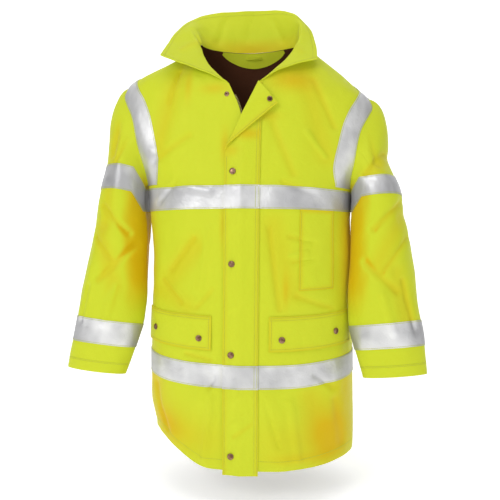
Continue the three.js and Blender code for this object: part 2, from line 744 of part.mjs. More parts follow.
function collarPoints(stations) {
  const edge = COLLAR_EDGE.map((p) => vec(p.x, p.y, p.z));
  const edgeLengths = runningLengths(edge);
  const baseLengths = runningLengths(stations.map((s) => s.point));
  const edgeTotal = edgeLengths[edgeLengths.length - 1];
  const baseTotal = baseLengths[baseLengths.length - 1];
  const rows = COLLAR_STEPS.map(() => []);
  stations.forEach(({ point }, k) => {
    const round = baseLengths[k] / baseTotal;
    const top = pointAtLength(edge, edgeLengths, round * edgeTotal);
    const toBack = Math.sin(round * Math.PI);
    const stand = COLLAR_STAND.front + COLLAR_STAND.shoulder * Math.sin(2 * round * Math.PI) ** 2;
    const bend = point.clone().lerp(top, COLLAR_STAND.bendAt);
    bend.z += stand * blend(1, COLLAR_STAND.backShare, toBack);
    bend.y -= COLLAR_STAND.forward * (1 - toBack) ** 2;
    COLLAR_STEPS.forEach((t, i) => {
      const near = point.clone().lerp(bend, t);
      const far = bend.clone().lerp(top, t);
      rows[i].push(near.lerp(far, t));
    });
  });
  return rows;
}

const stations = neckStations();
const collarOuter = collarPoints(stations);
const collarNormals = gridNormals(collarOuter, { hand: -1 });
collarNormals[0] = stations.map((s) => s.normal);
addPiece("collar", wall(collarOuter, moved(collarOuter, collarNormals, -WALL)), CLOTH_YELLOW);

// Storm flap

// A point of the front form and the direction off it, with the pressed folds of the front it lies on
function frontFrame(x, z) {
  const at = (px, pz) => {
    const p = bodyPoint("front", angleAt(Math.abs(px), pz), pz);
    return vec(Math.sign(px) * p.x, p.y - SEAM_GAP / 2, p.z);
  };
  const reach = 1;
  const across = at(x + reach, z).sub(at(x - reach, z));
  const along = at(x, z + reach).sub(at(x, z - reach));
  const normal = across.cross(along).normalize();
  const point = at(x === 0 ? 0.01 : x, z);
  const name = x < 0 ? "front_right" : "front_left";
  return { point: point.addScaledVector(normal, foldDepth(name, point)), normal };
}

function overFront(x, z, height) {
  const { point, normal } = frontFrame(x, z);
  return point.addScaledVector(normal, height);
}

// Height of the flap's underside over the front: sewn down at one edge, over the zip in the middle
function flapLift(x) {
  const fromSewn = THREE.MathUtils.smoothstep(FLAP.sewnX - x, 0, FLAP.easeWidth);
  const overZip = Math.exp(-((x / FLAP.zipHalfWidth) ** 2));
  return FLAP.sewnLift + FLAP.lift * fromSewn + FLAP.zipLift * overZip;
}

// Carries a point of the flat flap round the roll of its turned-back corner
function turnCorner(x, z, height) {
  const dx = FLAP.foldTopX - FLAP.freeX;
  const dz = FLAP.topZ - FLAP.foldLowZ;
  const length = Math.hypot(dx, dz);
  const across = { x: -dz / length, z: dx / length };
  const past = (x - FLAP.freeX) * across.x + (z - FLAP.foldLowZ) * across.z;
  if (past <= 0) return overFront(x, z, height);
  const axisHeight = flapLift(x) + WALL + FLAP.rollRadius;
  const middle = WALL / 2 + FLAP.rollRadius;
  const turn = Math.min(past / middle, Math.PI);
  const flat = Math.max(past - Math.PI * middle, 0);
  const radius = axisHeight - height;
  const newPast = radius * Math.sin(turn) - flat;
  const newHeight = axisHeight - radius * Math.cos(turn);
  const shift = newPast - past;
  return overFront(x + across.x * shift, z + across.z * shift, newHeight);
}

// Places across the flap at one height, close together where the corner rolls over
function flapColumns(z) {
  const { sewnX, freeX, foldLowZ, topZ, foldTopX, rollRadius } = FLAP;
  const foldX = blend(freeX, foldTopX, (z - foldLowZ) / (topZ - foldLowZ));
  const even = (from, to, count) => [...Array(count).keys()].map((k) => blend(from, to, k / count));
  const total = FLAP.plainColumns + FLAP.rollColumns + FLAP.turnedColumns;
  if (foldX <= freeX + 1) return [...even(sewnX, freeX, total), freeX];
  const rollWidth = Math.PI * (rollRadius + WALL / 2) * 1.1;
  const rollEnd = foldX - Math.min(rollWidth, 0.7 * (foldX - freeX));
  const plain = even(sewnX, foldX, FLAP.plainColumns);
  const roll = even(foldX, rollEnd, FLAP.rollColumns);
  const turned = even(rollEnd, freeX, FLAP.turnedColumns);
  return [...plain, ...roll, ...turned, freeX];
}

function flapHeights() {
  const below = BODY_ROWS.slice(1, ARMHOLE_ROW).map((row) => row.z);
  const above = [-302, -277];
  const folded = [];
  for (let z = FLAP.foldLowZ; z < FLAP.topZ - 6; z += FLAP.foldStep) folded.push(z);
  return [FLAP.bottomZ, ...below, ...above, ...folded, FLAP.topZ];
}

const flapZ = flapHeights();
const flapX = flapZ.map((z) => flapColumns(z));
const flapGrid = (height) => flapZ.map((z, i) => flapX[i].map((x) => turnCorner(x, z, flapLift(x) + height)));
const flapUnder = flapGrid(0);
const flapOuter = flapGrid(WALL);
addPiece("storm_flap", wall(flapOuter, flapUnder), CLOTH_YELLOW);

// Reflective tape

function flapTape(row) {
  const band = (lift) =>
    [row, row + 1].map((i) => flapX[i].map((x) => overFront(x, flapZ[i], flapLift(x) + WALL + lift)));
  return wall(band(LIE_GAP + TAPE_THICK), band(LIE_GAP));
}

const BANDS = [
  { name: "chest", row: CHEST_TAPE_ROW },
  { name: "waist", row: WAIST_TAPE_ROW },
];
const lastFrontColumn = FRONT_LAYOUT.angles.length - 1;
const lastBackColumn = 2 * (BACK_LAYOUT.angles.length - 1);
for (const { name, row } of BANDS) {
  const rows = [row, row + 1];
  const onRight = lyingOn(fronts.right, rows, [0, lastFrontColumn], LIE_GAP, TAPE_THICK);
  const onLeft = lyingOn(fronts.left, rows, [FRONT_FLAP_COLUMN + 0.02, lastFrontColumn], LIE_GAP, TAPE_THICK);
  const onBack = lyingOn(back, rows, [0, lastBackColumn], LIE_GAP, TAPE_THICK);
  addPiece(`${name}_tape_right`, onRight, TAPE_SILVER, 0.4, 0.3);
  addPiece(`${name}_tape_left`, onLeft, TAPE_SILVER, 0.4, 0.3);
  addPiece(`${name}_tape_back`, onBack, TAPE_SILVER, 0.4, 0.3);
  addPiece(`${name}_tape_flap`, flapTape(row), TAPE_SILVER, 0.4, 0.3);
}

// Shoulder tape: up the front beside the armhole, over the shoulder and down the back
function shoulderTape(side) {
  const front = fronts[side.name];
  const rows = [CHEST_TAPE_ROW + 1.06, topRow];
  const frontColumns = [FRONT_LAYOUT.tapeColumn, FRONT_LAYOUT.armholeColumn];
  const away = [BACK_LAYOUT.tapeColumn, BACK_LAYOUT.armholeColumn];
  const onBack = (grid) => {
    const half = grid.map((row) => {
      const columns = row.slice(back.middle);
      return side.sign > 0 ? columns : row.slice(0, back.middle + 1).reverse();
    });
    return patch(half, rows, away).reverse().slice(1);
  };
  const frontRows = patch(front.points, rows, frontColumns);
  const points = [...frontRows, ...onBack(back.points)];
  const normals = [...patch(front.normals, rows, frontColumns), ...onBack(back.normals)];
  const lift = LIE_GAP;
  const turned = (i) => side.sign > 0 && i >= frontRows.length - 1;
  return wall(moved(points, normals, lift + TAPE_THICK), moved(points, normals, lift), { turned });
}

for (const side of SIDES) {
  const sleeve = sleeves[side.name];
  const around = [0, sleeve.points[0].length - 1];
  const sleeveBand = (ring) =>
    lyingOn(sleeve, [ring, ring + 1], around, LIE_GAP, TAPE_THICK, { wraps: true });
  addPiece(`shoulder_tape_${side.name}`, shoulderTape(side), TAPE_SILVER, 0.4, 0.3);
  addPiece(`upper_sleeve_tape_${side.name}`, sleeveBand(UPPER_TAPE_RING), TAPE_SILVER, 0.4, 0.3);
  addPiece(`cuff_tape_${side.name}`, sleeveBand(CUFF_TAPE_RING), TAPE_SILVER, 0.4, 0.3);
}

// Pockets

// Height of a pocket flap's underside, from its free edge to its sewn edge
function pocketFlapLift(share) {
  return LIE_GAP + POCKET_FLAP_STAND * (1 - share);
}

// A pocket flap, sewn at its top edge and standing a little off the cloth below
function pocketFlap(front) {
  const rows = [POCKET_FLAP_ROW, POCKET_FLAP_TOP_ROW];
  const columns = [FRONT_POCKET_COLUMN, FRONT_LAYOUT.armholeColumn];
  const points = patch(front.points, rows, columns);
  const normals = patch(front.normals, rows, columns);
  const top = points.length - 1;
  const off = (extra) =>
    points.map((row, i) =>
      row.map((p, j) => p.clone().addScaledVector(normals[i][j], extra + pocketFlapLift(i / top))),
    );
  return wall(off(WALL), off(0));
}

for (const side of SIDES) addPiece(`pocket_flap_${side.name}`, pocketFlap(fronts[side.name]), CLOTH_YELLOW);

const chestPocketRows = [CHEST_POCKET_ROW, CHEST_TAPE_ROW - 0.02];
const chestPocketColumns = [CHEST_POCKET_COLUMN, FRONT_LAYOUT.tapeColumn];
const chestPocket = lyingOn(fronts.left, chestPocketRows, chestPocketColumns, LIE_GAP, POCKET_THICK);
addPiece("chest_pocket", chestPocket, CLOTH_YELLOW);

// Zip: one strip inside each front edge, and the slider at the closed end

function zipStrip(side) {
  const front = fronts[side.name];
  const withEdge = (grid, reach) =>
    patch(grid, [HEM_ROW + ZIP_STRIP.aboveHem, topRow - 1], [0, ZIP_STRIP.columns]).map((row) => {
      const edge = row[0].clone();
      return [edge.setX(edge.x - side.sign * reach), ...row];
    });
  const points = withEdge(front.points, FRONT_EDGE - SEAM_GAP);
  const normals = withEdge(front.normals, 0);
  const behind = WALL + 2 * LIE_GAP;
  return wall(moved(points, normals, -behind), moved(points, normals, -behind - TAPE_THICK));
}

for (const side of SIDES) addPiece(`zip_${side.name}`, zipStrip(side), ZIP_BROWN);

const slider = new THREE.BoxGeometry(SLIDER.width, SLIDER.depth, SLIDER.height);
const sliderPlace = overFront(0, SLIDER.z, SLIDER.depth / 2 + 3 * LIE_GAP);
slider.translate(sliderPlace.x, sliderPlace.y, sliderPlace.z);
addPiece("zip_slider", slider, STUD_BRASS, 0.4, 0.8);

// Inside the neck, where it shows: lining, facing and hanger loop

function insideBack(rows, reach, lift, thick) {
  const columns = [back.middle - reach, back.middle + reach];
  const points = patch(back.points, rows, columns);
  const normals = patch(back.normals, rows, columns);
  return wall(moved(points, normals, -lift), moved(points, normals, -lift - thick));
}

const liningLift = WALL + LIE_GAP;
const facingLift = liningLift + TAPE_THICK + LIE_GAP;
addPiece("lining_back", insideBack([topRow - 6, topRow - 0.02], 4, liningLift, TAPE_THICK), LINING_BROWN);
addPiece("neck_facing", insideBack([topRow - 0.95, topRow - 0.05], 2, facingLift, TAPE_THICK), CLOTH_YELLOW);

function hangerLoop() {
  const { halfWidth, height, z, bow } = LOOP;
  const steps = 8;
  const off = facingLift + TAPE_THICK + LIE_GAP + LOOP.clear;
  const band = (thick) =>
    [0, 1].map((row) =>
      [...Array(steps + 1).keys()].map((k) => {
        const share = (2 * k) / steps - 1;
        const [x, level] = [share * halfWidth, z + row * height];
        const y = bodyPoint("back", angleAt(Math.abs(x), level), level).y - off - bow * (1 - share ** 2);
        return vec(x, y - thick, level);
      }),
    );
  return wall(band(LOOP.thick), band(0));
}

addPiece("hanger_loop", hangerLoop(), CLOTH_YELLOW);

// Press studs

function studAt(place, normal, radius = STUD.radius) {
  const h = STUD.height;
  const profile = [
    [0, 0],
    [radius, 0],
    [radius, 0.45 * h],
    [0.82 * radius, 0.85 * h],
    [0.4 * radius, h],
    [0, h],
  ];
  const geometry = new THREE.LatheGeometry(profile.map(([r, y]) => new THREE.Vector2(r, y)), 14);
  geometry.applyQuaternion(new THREE.Quaternion().setFromUnitVectors(vec(0, 1, 0), normal));
  geometry.translate(place.x, place.y, place.z);
  return geometry;
}

function studOverFront(x, z, height, radius) {
  const { normal } = frontFrame(x, z);
  return studAt(overFront(x, z, height), normal, radius);
}

FLAP_STUDS.forEach((z, k) => {
  const lift = flapLift(FLAP_STUD_X) + WALL + STUD_CLEAR;
  addPiece(`flap_stud_${k + 1}`, studOverFront(FLAP_STUD_X, z, lift), STUD_BRASS, 0.4, 0.8);
});

const turnedHeight = flapLift(FLAP.freeX) + WALL * 2 + FLAP.rollRadius * 2;
const cornerStud = studOverFront(CORNER_STUD.x, CORNER_STUD.z, turnedHeight + STUD_CLEAR, CORNER_STUD.radius);
addPiece("flap_stud_corner", cornerStud, STUD_BRASS, 0.4, 0.8);
const neckStud = studOverFront(NECK_STUD.x, NECK_STUD.z, 0, NECK_STUD.radius);
addPiece("neck_stud", neckStud, STUD_BRASS, 0.4, 0.8);

for (const side of SIDES) {
  POCKET_STUDS.forEach(({ name, x, z }) => {
    const low = BODY_ROWS[POCKET_FLAP_ROW].z;
    const share = (z - low) / (BODY_ROWS[POCKET_FLAP_TOP_ROW].z - low);
    const stud = studOverFront(side.sign * x, z, pocketFlapLift(share) + WALL + POCKET_STUD_CLEAR);
    addPiece(`pocket_stud_${side.name}_${name}`, stud, STUD_BRASS, 0.4, 0.8);
  });
}

export default jacket;
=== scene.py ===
"""Hi-vis work jacket in its worn shape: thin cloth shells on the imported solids, with creases, bands, zip and sewing."""

import logging
import math
from dataclasses import dataclass, field
from enum import Enum
from typing import Callable, Sequence

import bmesh
import bpy
import numpy as np
from mathutils import Matrix, Vector, noise


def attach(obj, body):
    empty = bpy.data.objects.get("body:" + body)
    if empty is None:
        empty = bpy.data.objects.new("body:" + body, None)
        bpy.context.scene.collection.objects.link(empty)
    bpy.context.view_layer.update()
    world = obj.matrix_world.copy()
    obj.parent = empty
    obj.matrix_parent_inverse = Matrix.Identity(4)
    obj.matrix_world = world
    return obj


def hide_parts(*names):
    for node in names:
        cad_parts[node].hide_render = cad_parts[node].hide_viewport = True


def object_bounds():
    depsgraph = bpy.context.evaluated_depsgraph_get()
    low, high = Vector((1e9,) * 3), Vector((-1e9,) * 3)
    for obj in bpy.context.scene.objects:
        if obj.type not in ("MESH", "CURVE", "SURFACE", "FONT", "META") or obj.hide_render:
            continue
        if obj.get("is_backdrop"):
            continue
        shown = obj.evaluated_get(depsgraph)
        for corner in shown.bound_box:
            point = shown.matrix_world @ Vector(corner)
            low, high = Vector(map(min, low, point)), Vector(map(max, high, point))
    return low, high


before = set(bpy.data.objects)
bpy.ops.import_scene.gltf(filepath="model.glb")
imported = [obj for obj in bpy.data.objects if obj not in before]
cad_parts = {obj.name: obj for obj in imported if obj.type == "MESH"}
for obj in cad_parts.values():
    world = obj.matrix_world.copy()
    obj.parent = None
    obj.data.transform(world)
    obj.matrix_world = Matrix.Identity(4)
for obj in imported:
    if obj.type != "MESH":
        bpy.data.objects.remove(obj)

LOG = logging.getLogger("jacket")
MM = 0.001
Array = np.ndarray


class Side(Enum):
    """The wearer's side; the value is the sign of its X."""

    RIGHT = -1
    LEFT = 1

    @property
    def word(self) -> str:
        """The side's name in piece names."""
        return self.name.lower()


class Face(Enum):
    """Front or back half of the body."""

    FRONT = "front"
    BACK = "back"


# Body sections in millimetres: height, half-width, depth before and behind the side seam, squareness
SECTIONS = (
    (-960, 235, 166, 141, 2.5),
    (-934, 236, 165, 140, 2.5),
    (-850, 236, 163, 136, 2.5),
    (-744, 234, 162, 131, 2.5),
    (-620, 232, 155, 128, 2.5),
    (-500, 231, 148, 127, 2.5),
    (-386, 233, 141, 128, 2.5),
    (-325, 240, 134, 127, 2.45),
    (-295, 260, 130, 126, 2.35),
    (-235, 307, 119, 123, 2.2),
    (-170, 309, 107, 117, 2.0),
    (-108, 287, 95, 107, 2.0),
    (-80, 242, 81, 101, 2.0),
    (-40, 179, 52, 91, 2.0),
    (-15, 139, 34, 82, 2.0),
    (0, 115, 26, 75, 2.0),
)

# Rows of body cloth below the armhole: height at the centre, and how much higher the side seam lies
BODY_ROWS = (
    (-946, 18), (-912, 18), (-868, 17), (-819, 15), (-769, 14), (-719, 13), (-690, 12), (-653, 11), (-616, 10),
    (-590, 8), (-562, 6), (-518, 3), (-474, 0), (-430, -3), (-386, -6), (-336, -6), (-325, -8),
)
WAIST_ROW = 4
POCKET_FLAP_ROW = 6
CHEST_POCKET_ROW = 10
CHEST_ROW = 14
ARMHOLE_ROW = len(BODY_ROWS) - 1
YOKE_ROWS = 9
HEM_TURN = 6
TOP_ROW = ARMHOLE_ROW + YOKE_ROWS
SHOULDER_TIP_Z = -108.0
SEAM_GAP = 0.4
LIE_GAP = 0.4
WALL = 2.0
BAND_THICK = 1.0
BAND_WIDTH = 50.0
FRONT_EDGE = 2.5


@dataclass(frozen=True)
class Layout:
    """Columns of a body panel from the centre line to the side seam, as angles round the body."""

    angles: tuple[float, ...]
    band: int
    armhole: int
    neck: int


LAYOUTS = {
    Face.FRONT: Layout((0.2, 6.4, 11, 19, 27.4, 36, 45, 53, 59.5, 66.5, 73, 79, 84.5, 90), 7, 10, 4),
    Face.BACK: Layout((0, 9, 18, 27, 36, 45, 53, 59.5, 66.5, 73, 79, 84.5, 90), 6, 9, 4),
}
ARMHOLES = {
    Face.FRONT: ((-325, 73), (-295, 62), (-235, 53), (-170, 62), (-108, 90)),
    Face.BACK: ((-325, 74), (-295, 66), (-235, 60), (-170, 67), (-108, 90)),
}
NECKLINES = {
    Face.FRONT: ((-112, 6.5), (-80, 16.8), (-40, 34), (-15, 54.4), (0, 90)),
    Face.BACK: ((-6, 0), (-5, 30), (-3, 60), (0, 90)),
}
FRONT_OPENING = ((-325, FRONT_EDGE), (-199, FRONT_EDGE), (-165, 9), (-112, 33))

# Sleeve sections: height, centre across, centre depth, half-width across, half-depth, rise of the outer side
SLEEVE_SECTIONS = (
    (-318, 282, -12, 54, 92, 0.12),
    (-366, 289, -20, 58, 88, 0.12),
    (-420, 294, -29, 62, 80, 0.12),
    (-470, 297, -39, 66, 73, 0.12),
    (-520, 300, -51, 70, 66, 0.12),
    (-570, 303, -63, 74, 59, 0.12),
    (-610, 306, -73, 76, 54, 0.12),
    (-634, 309, -79, 77, 50, 0.11),
    (-684, 319, -90, 74, 43, 0.1),
    (-712, 325, -96, 71, 40, 0.1),
    (-741, 331, -101, 68, 37, 0.1),
)
SLEEVE_LENGTH = SLEEVE_SECTIONS[0][0] - SLEEVE_SECTIONS[-1][0]
CAP_STEPS = (0.22, 0.5, 0.78)
UPPER_BAND_RING = len(CAP_STEPS) + 1
CUFF_BAND_RING = UPPER_BAND_RING + 7
SLEEVE_CLEAR = 9.0
UNDERARM_DROP = 9.0

COLLAR_EDGE = (
    (-196, -64, -43), (-194, -30, -17), (-190, 2, 9), (-183, 30, 35), (-169, 54, 60), (-142, 76, 84),
    (-101, 90, 97), (-46, 96, 101), (11, 97, 101), (57, 91, 98), (95, 74, 84), (119, 52, 61), (138, 28, 36),
    (148, 2, 10), (155, -28, -17), (158, -62, -48),
)

# Press studs: places across and up the front, in millimetres
FLAP_STUD_X = -18.0
FLAP_STUDS = (-914.0, -697.0, -504.0, -307.0)
CORNER_STUD = (58.0, -153.0)
NECK_STUD = (-37.0, -136.0)
POCKET_STUDS = {"inner": (89.0, -664.0), "outer": (198.0, -650.0)}
STUD_RADIUS = 7.0
STUD_HEIGHT = 2.6


def step_between(value: Array, low: float, high: float) -> Array:
    """Smooth step of a value from 0 at low to 1 at high."""
    t = np.clip((value - low) / (high - low), 0, 1)
    return t * t * (3 - 2 * t)


@dataclass(frozen=True)
class Sit:
    """How the worn jacket sits: uneven shoulders, the body turned a little, and the hem drawn up at one side."""

    right_lift: float = 12.0
    left_drop: float = 29.0
    tip_inward: float = 16.0
    body_shift: float = 6.0
    hem_rise: float = 48.0
    hem_inward: float = 14.0

    def settle(self, points: Array, is_sleeve: bool = False) -> Array:
        """Moves points of the even form to where the worn jacket has them.

        Args:
            points: Points in millimetres, with any leading shape.
            is_sleeve: Whether they belong to a sleeve, which the body and hem moves leave alone.

        Returns:
            The moved points.
        """
        x, y, z = points[..., 0], points[..., 1], points[..., 2]
        on_shoulder = step_between(z, -420, -200)
        out_left, out_right = step_between(x, 60, 290), step_between(-x, 150, 290)
        moved = np.array(points, float)
        moved[..., 2] += on_shoulder * (self.right_lift * out_right - self.left_drop * out_left)
        moved[..., 0] -= self.tip_inward * step_between(z, -330, -220) * step_between(x, 200, 300)
        if is_sleeve:
            return moved
        below = step_between(-z, 400, 500)
        to_hem = step_between(-z, 800, 946) * step_between(-x, 60, 220)
        moved[..., 0] += self.body_shift * below * step_between(y, -150, -10) + self.hem_inward * to_hem
        moved[..., 2] += self.hem_rise * to_hem
        return moved


SIT = Sit()


@dataclass(frozen=True)
class Hang:
    """How far a sleeve hangs higher at its upper end, lower at its cuff, and further out there."""

    upper: float
    cuff: float
    out: float


HANGS = {Side.RIGHT: Hang(14, -13, 9), Side.LEFT: Hang(8, -3, -3)}


@dataclass(frozen=True)
class Crease:
    """A soft trough or ridge: its line in the front view, half-width and depth, in millimetres."""

    piece: str
    start: tuple[float, float]
    end: tuple[float, float]
    width: float
    depth: float

    def offset(self, points: Array) -> Array:
        """Distance that each point moves along its normal.

        Args:
            points: Points as an array of shape (rows, columns, 3).

        Returns:
            One distance for each point.
        """
        (x0, z0), (x1, z1) = self.start, self.end
        length = math.hypot(x1 - x0, z1 - z0)
        dx, dz = points[..., 0] - x0, points[..., 2] - z0
        along = (dx * (x1 - x0) + dz * (z1 - z0)) / length
        off = (dx * (z1 - z0) - dz * (x1 - x0)) / length
        past = np.maximum(np.maximum(-along, along - length), 0.0)
        return self.depth * np.exp(-((off / self.width) ** 2) - (past / self.width) ** 2)


@dataclass(frozen=True)
class DeepTone:
    """A soft patch of painted shade on the cloth: its place and half-sizes in the front view, and its strength."""

    piece: str
    place: tuple[float, float]
    size: tuple[float, float]
    strength: float

    def at(self, points: Array) -> Array:
        """Strength of the patch at each point."""
        across = (points[..., 0] - self.place[0]) / self.size[0]
        up = (points[..., 2] - self.place[1]) / self.size[1]
        return self.strength * np.exp(-(across**2) - up**2)


# Patches of painted shade: beside the arms, toward the hem's sides, below the collar, along the storm flap and under
# its turned corner.
SHADE_PATCHES = (
    DeepTone("front_right", (-126, -112), (9, 34), 0.5),
    DeepTone("front_right", (-66, -122), (30, 12), 0.5),
    DeepTone("front_right", (-38, -250), (9, 34), 0.55),
    DeepTone("front_right", (-38, -420), (7, 50), 0.45),
    DeepTone("front_right", (-232, -470), (24, 130), 0.8),
    DeepTone("front_right", (-212, -770), (34, 60), 0.6),
    DeepTone("front_right", (-182, -880), (52, 60), 0.75),
    DeepTone("front_left", (102, -104), (42, 24), 0.75),
    DeepTone("front_left", (52, -186), (26, 10), 0.4),
    DeepTone("front_left", (96, -560), (7, 34), 0.45),
    DeepTone("front_left", (232, -470), (24, 130), 0.85),
    DeepTone("front_left", (222, -770), (20, 60), 0.5),
    DeepTone("front_left", (196, -872), (46, 66), 0.8),
    DeepTone("front_left", (120, -918), (60, 12), 0.35),
    DeepTone("storm_flap", (12, -226), (30, 12), 0.65),
    DeepTone("storm_flap", (-20, -262), (14, 12), 0.4),
    DeepTone("front_right", (-110, -884), (90, 46), 0.3),
    DeepTone("front_left", (112, -884), (90, 46), 0.25),
    DeepTone("back_panel", (-228, -460), (26, 130), 0.7),
    DeepTone("back_panel", (228, -460), (26, 130), 0.7),
    DeepTone("back_panel", (-190, -880), (50, 56), 0.5),
    DeepTone("back_panel", (196, -880), (46, 56), 0.5),
    DeepTone("back_panel", (0, -30), (110, 18), 0.35),
)


def rim_tone(shape: tuple[int, int], cells: float, strength: float) -> Array:
    """Painted shadow that deepens within a few cells of a grid's edges."""
    i, j = np.arange(shape[0])[:, None], np.arange(shape[1])[None, :]
    inside = np.minimum(np.minimum(i, shape[0] - 1 - i), np.minimum(j, shape[1] - 1 - j))
    return strength * np.exp(-((inside / cells) ** 2))


def deep_tone(name: str, points: Array) -> Array:
    """How deep the painted shade patches of a piece are at each point, 0 to 1."""
    own = [tone.at(points) for tone in SHADE_PATCHES if tone.piece == name]
    return np.clip(sum(own, np.zeros(points.shape[:2])), 0, 0.9)


PRESSED_FOLDS = (
    Crease("front_right", (-150, -60), (-196, -250), 22, -5),
    Crease("front_right", (-100, -470), (-165, -540), 24, -5),
    Crease("front_right", (-190, -570), (-120, -598), 20, -4),
    Crease("front_right", (-90, -800), (-150, -905), 30, 5),
    Crease("front_left", (130, -70), (178, -260), 24, -4),
    Crease("front_left", (70, -420), (110, -560), 26, -4),
    Crease("front_left", (60, -800), (95, -925), 28, 6),
    Crease("front_left", (150, -790), (185, -900), 26, -5),
    Crease("back_panel", (-170, -140), (-120, -330), 28, -5),
    Crease("back_panel", (165, -150), (125, -320), 30, -6),
    Crease("back_panel", (-60, -520), (-150, -600), 30, -5),
    Crease("back_panel", (70, -600), (160, -500), 28, -5),
    Crease("back_panel", (-110, -790), (-90, -930), 34, 6),
    Crease("back_panel", (120, -800), (95, -930), 32, 6),
    Crease("sleeve_right", (-300, -190), (-318, -420), 18, -5),
    Crease("sleeve_right", (-335, -430), (-290, -560), 20, -5),
    Crease("sleeve_right", (-350, -520), (-365, -625), 16, 4),
    Crease("sleeve_left", (330, -250), (275, -300), 18, -5),
    Crease("sleeve_left", (345, -400), (290, -500), 20, -5),
    Crease("sleeve_left", (330, -520), (352, -625), 18, -4),
)

FINE_CREASES = (
    Crease("front_right", (-155, -75), (-172, -150), 5, -2.2),
    Crease("front_right", (-120, -225), (-205, -282), 8, -1.4),
    Crease("front_right", (-104, -450), (-160, -520), 7, -2.4),
    Crease("front_right", (-182, -545), (-134, -592), 6, -1.8),
    Crease("front_right", (-60, -560), (-96, -600), 6, -1.4),
    Crease("front_right", (-70, -430), (-92, -560), 9, 1.2),
    Crease("front_right", (-120, -700), (-62, -712), 5, -1.6),
    Crease("front_right", (-60, -790), (-80, -925), 9, 2.2),
    Crease("front_right", (-200, -780), (-178, -910), 8, -2.0),
    Crease("front_left", (64, -200), (110, -310), 9, -1.6),
    Crease("front_left", (60, -430), (84, -600), 7, -1.8),
    Crease("front_left", (118, -572), (192, -600), 6, -1.6),
    Crease("front_left", (52, -795), (84, -890), 6, -2.4),
    Crease("front_left", (108, -800), (126, -920), 9, 2.0),
    Crease("front_left", (200, -800), (214, -900), 8, -1.8),
    Crease("front_left", (150, -95), (196, -190), 7, -1.6),
    Crease("back_panel", (-40, -180), (-130, -250), 9, -1.8),
    Crease("back_panel", (60, -210), (150, -270), 9, -1.6),
    Crease("back_panel", (-150, -450), (-60, -520), 8, -2.0),
    Crease("back_panel", (40, -470), (120, -560), 9, -1.8),
    Crease("back_panel", (-180, -620), (-100, -680), 8, -1.8),
    Crease("back_panel", (30, -640), (150, -690), 9, -1.6),
    Crease("back_panel", (-30, -800), (-44, -925), 9, 2.0),
    Crease("back_panel", (50, -790), (66, -925), 10, 2.2),
    Crease("back_panel", (180, -810), (170, -915), 8, -1.8),
    Crease("back_panel", (-190, -800), (-176, -915), 8, 1.8),
    Crease("sleeve_right", (-290, -170), (-306, -270), 8, -2.0),
    Crease("sleeve_right", (-262, -220), (-292, -285), 6, -1.8),
    Crease("sleeve_right", (-325, -380), (-262, -440), 7, -2.6),
    Crease("sleeve_right", (-345, -450), (-300, -500), 6, -2.2),
    Crease("sleeve_right", (-250, -470), (-330, -545), 8, -2.4),
    Crease("sleeve_right", (-355, -560), (-372, -640), 7, -2.0),
    Crease("sleeve_right", (-290, -560), (-310, -640), 9, 2.0),
    Crease("sleeve_left", (286, -180), (300, -270), 8, -1.8),
    Crease("sleeve_left", (318, -240), (262, -296), 7, -2.4),
    Crease("sleeve_left", (340, -370), (280, -430), 7, -2.6),
    Crease("sleeve_left", (352, -450), (300, -520), 6, -2.2),
    Crease("sleeve_left", (262, -500), (330, -560), 8, -2.2),
    Crease("sleeve_left", (344, -540), (366, -640), 7, -2.0),
    Crease("sleeve_left", (300, -570), (322, -645), 9, 2.0),
    Crease("collar", (-150, -20), (-100, 10), 9, -2.2),
    Crease("collar", (-86, 20), (-72, 75), 9, 2.6),
    Crease("collar", (70, 15), (46, 72), 9, 2.6),
    Crease("collar", (120, -30), (84, 0), 8, -2.0),
    Crease("collar", (-20, 30), (-6, 84), 10, 1.4),
    Crease("front_left", (104, -446), (152, -458), 5, -1.5),
    Crease("front_left", (104, -486), (140, -478), 4, 1.4),
    Crease("front_left", (112, -500), (152, -494), 4, -1.3),
    Crease("front_left", (90, -330), (150, -352), 8, -1.5),
    Crease("front_left", (140, -215), (176, -262), 6, 1.8),
    Crease("front_right", (-70, -350), (-160, -330), 8, 1.4),
    Crease("front_right", (-148, -330), (-190, -372), 6, -1.8),
    Crease("front_right", (-52, -740), (-66, -772), 5, -2.4),
    Crease("front_left", (160, -740), (196, -772), 7, -1.8),
    Crease("collar", (-130, 40), (-96, 4), 7, 1.8),
    Crease("collar", (112, 44), (92, 2), 7, 1.8),
)

FLAP_CREASES = (
    Crease("storm_flap", (-22, -852), (18, -818), 5, 1.6),
    Crease("storm_flap", (-12, -872), (30, -842), 5, -1.5),
    Crease("storm_flap", (-30, -806), (2, -784), 5, 1.2),
    Crease("storm_flap", (-28, -742), (10, -760), 5, 1.2),
    Crease("storm_flap", (-20, -600), (24, -572), 7, 1.2),
    Crease("storm_flap", (-26, -440), (6, -402), 7, 1.1),
    Crease("storm_flap", (0, -350), (30, -300), 8, 1.0),
)


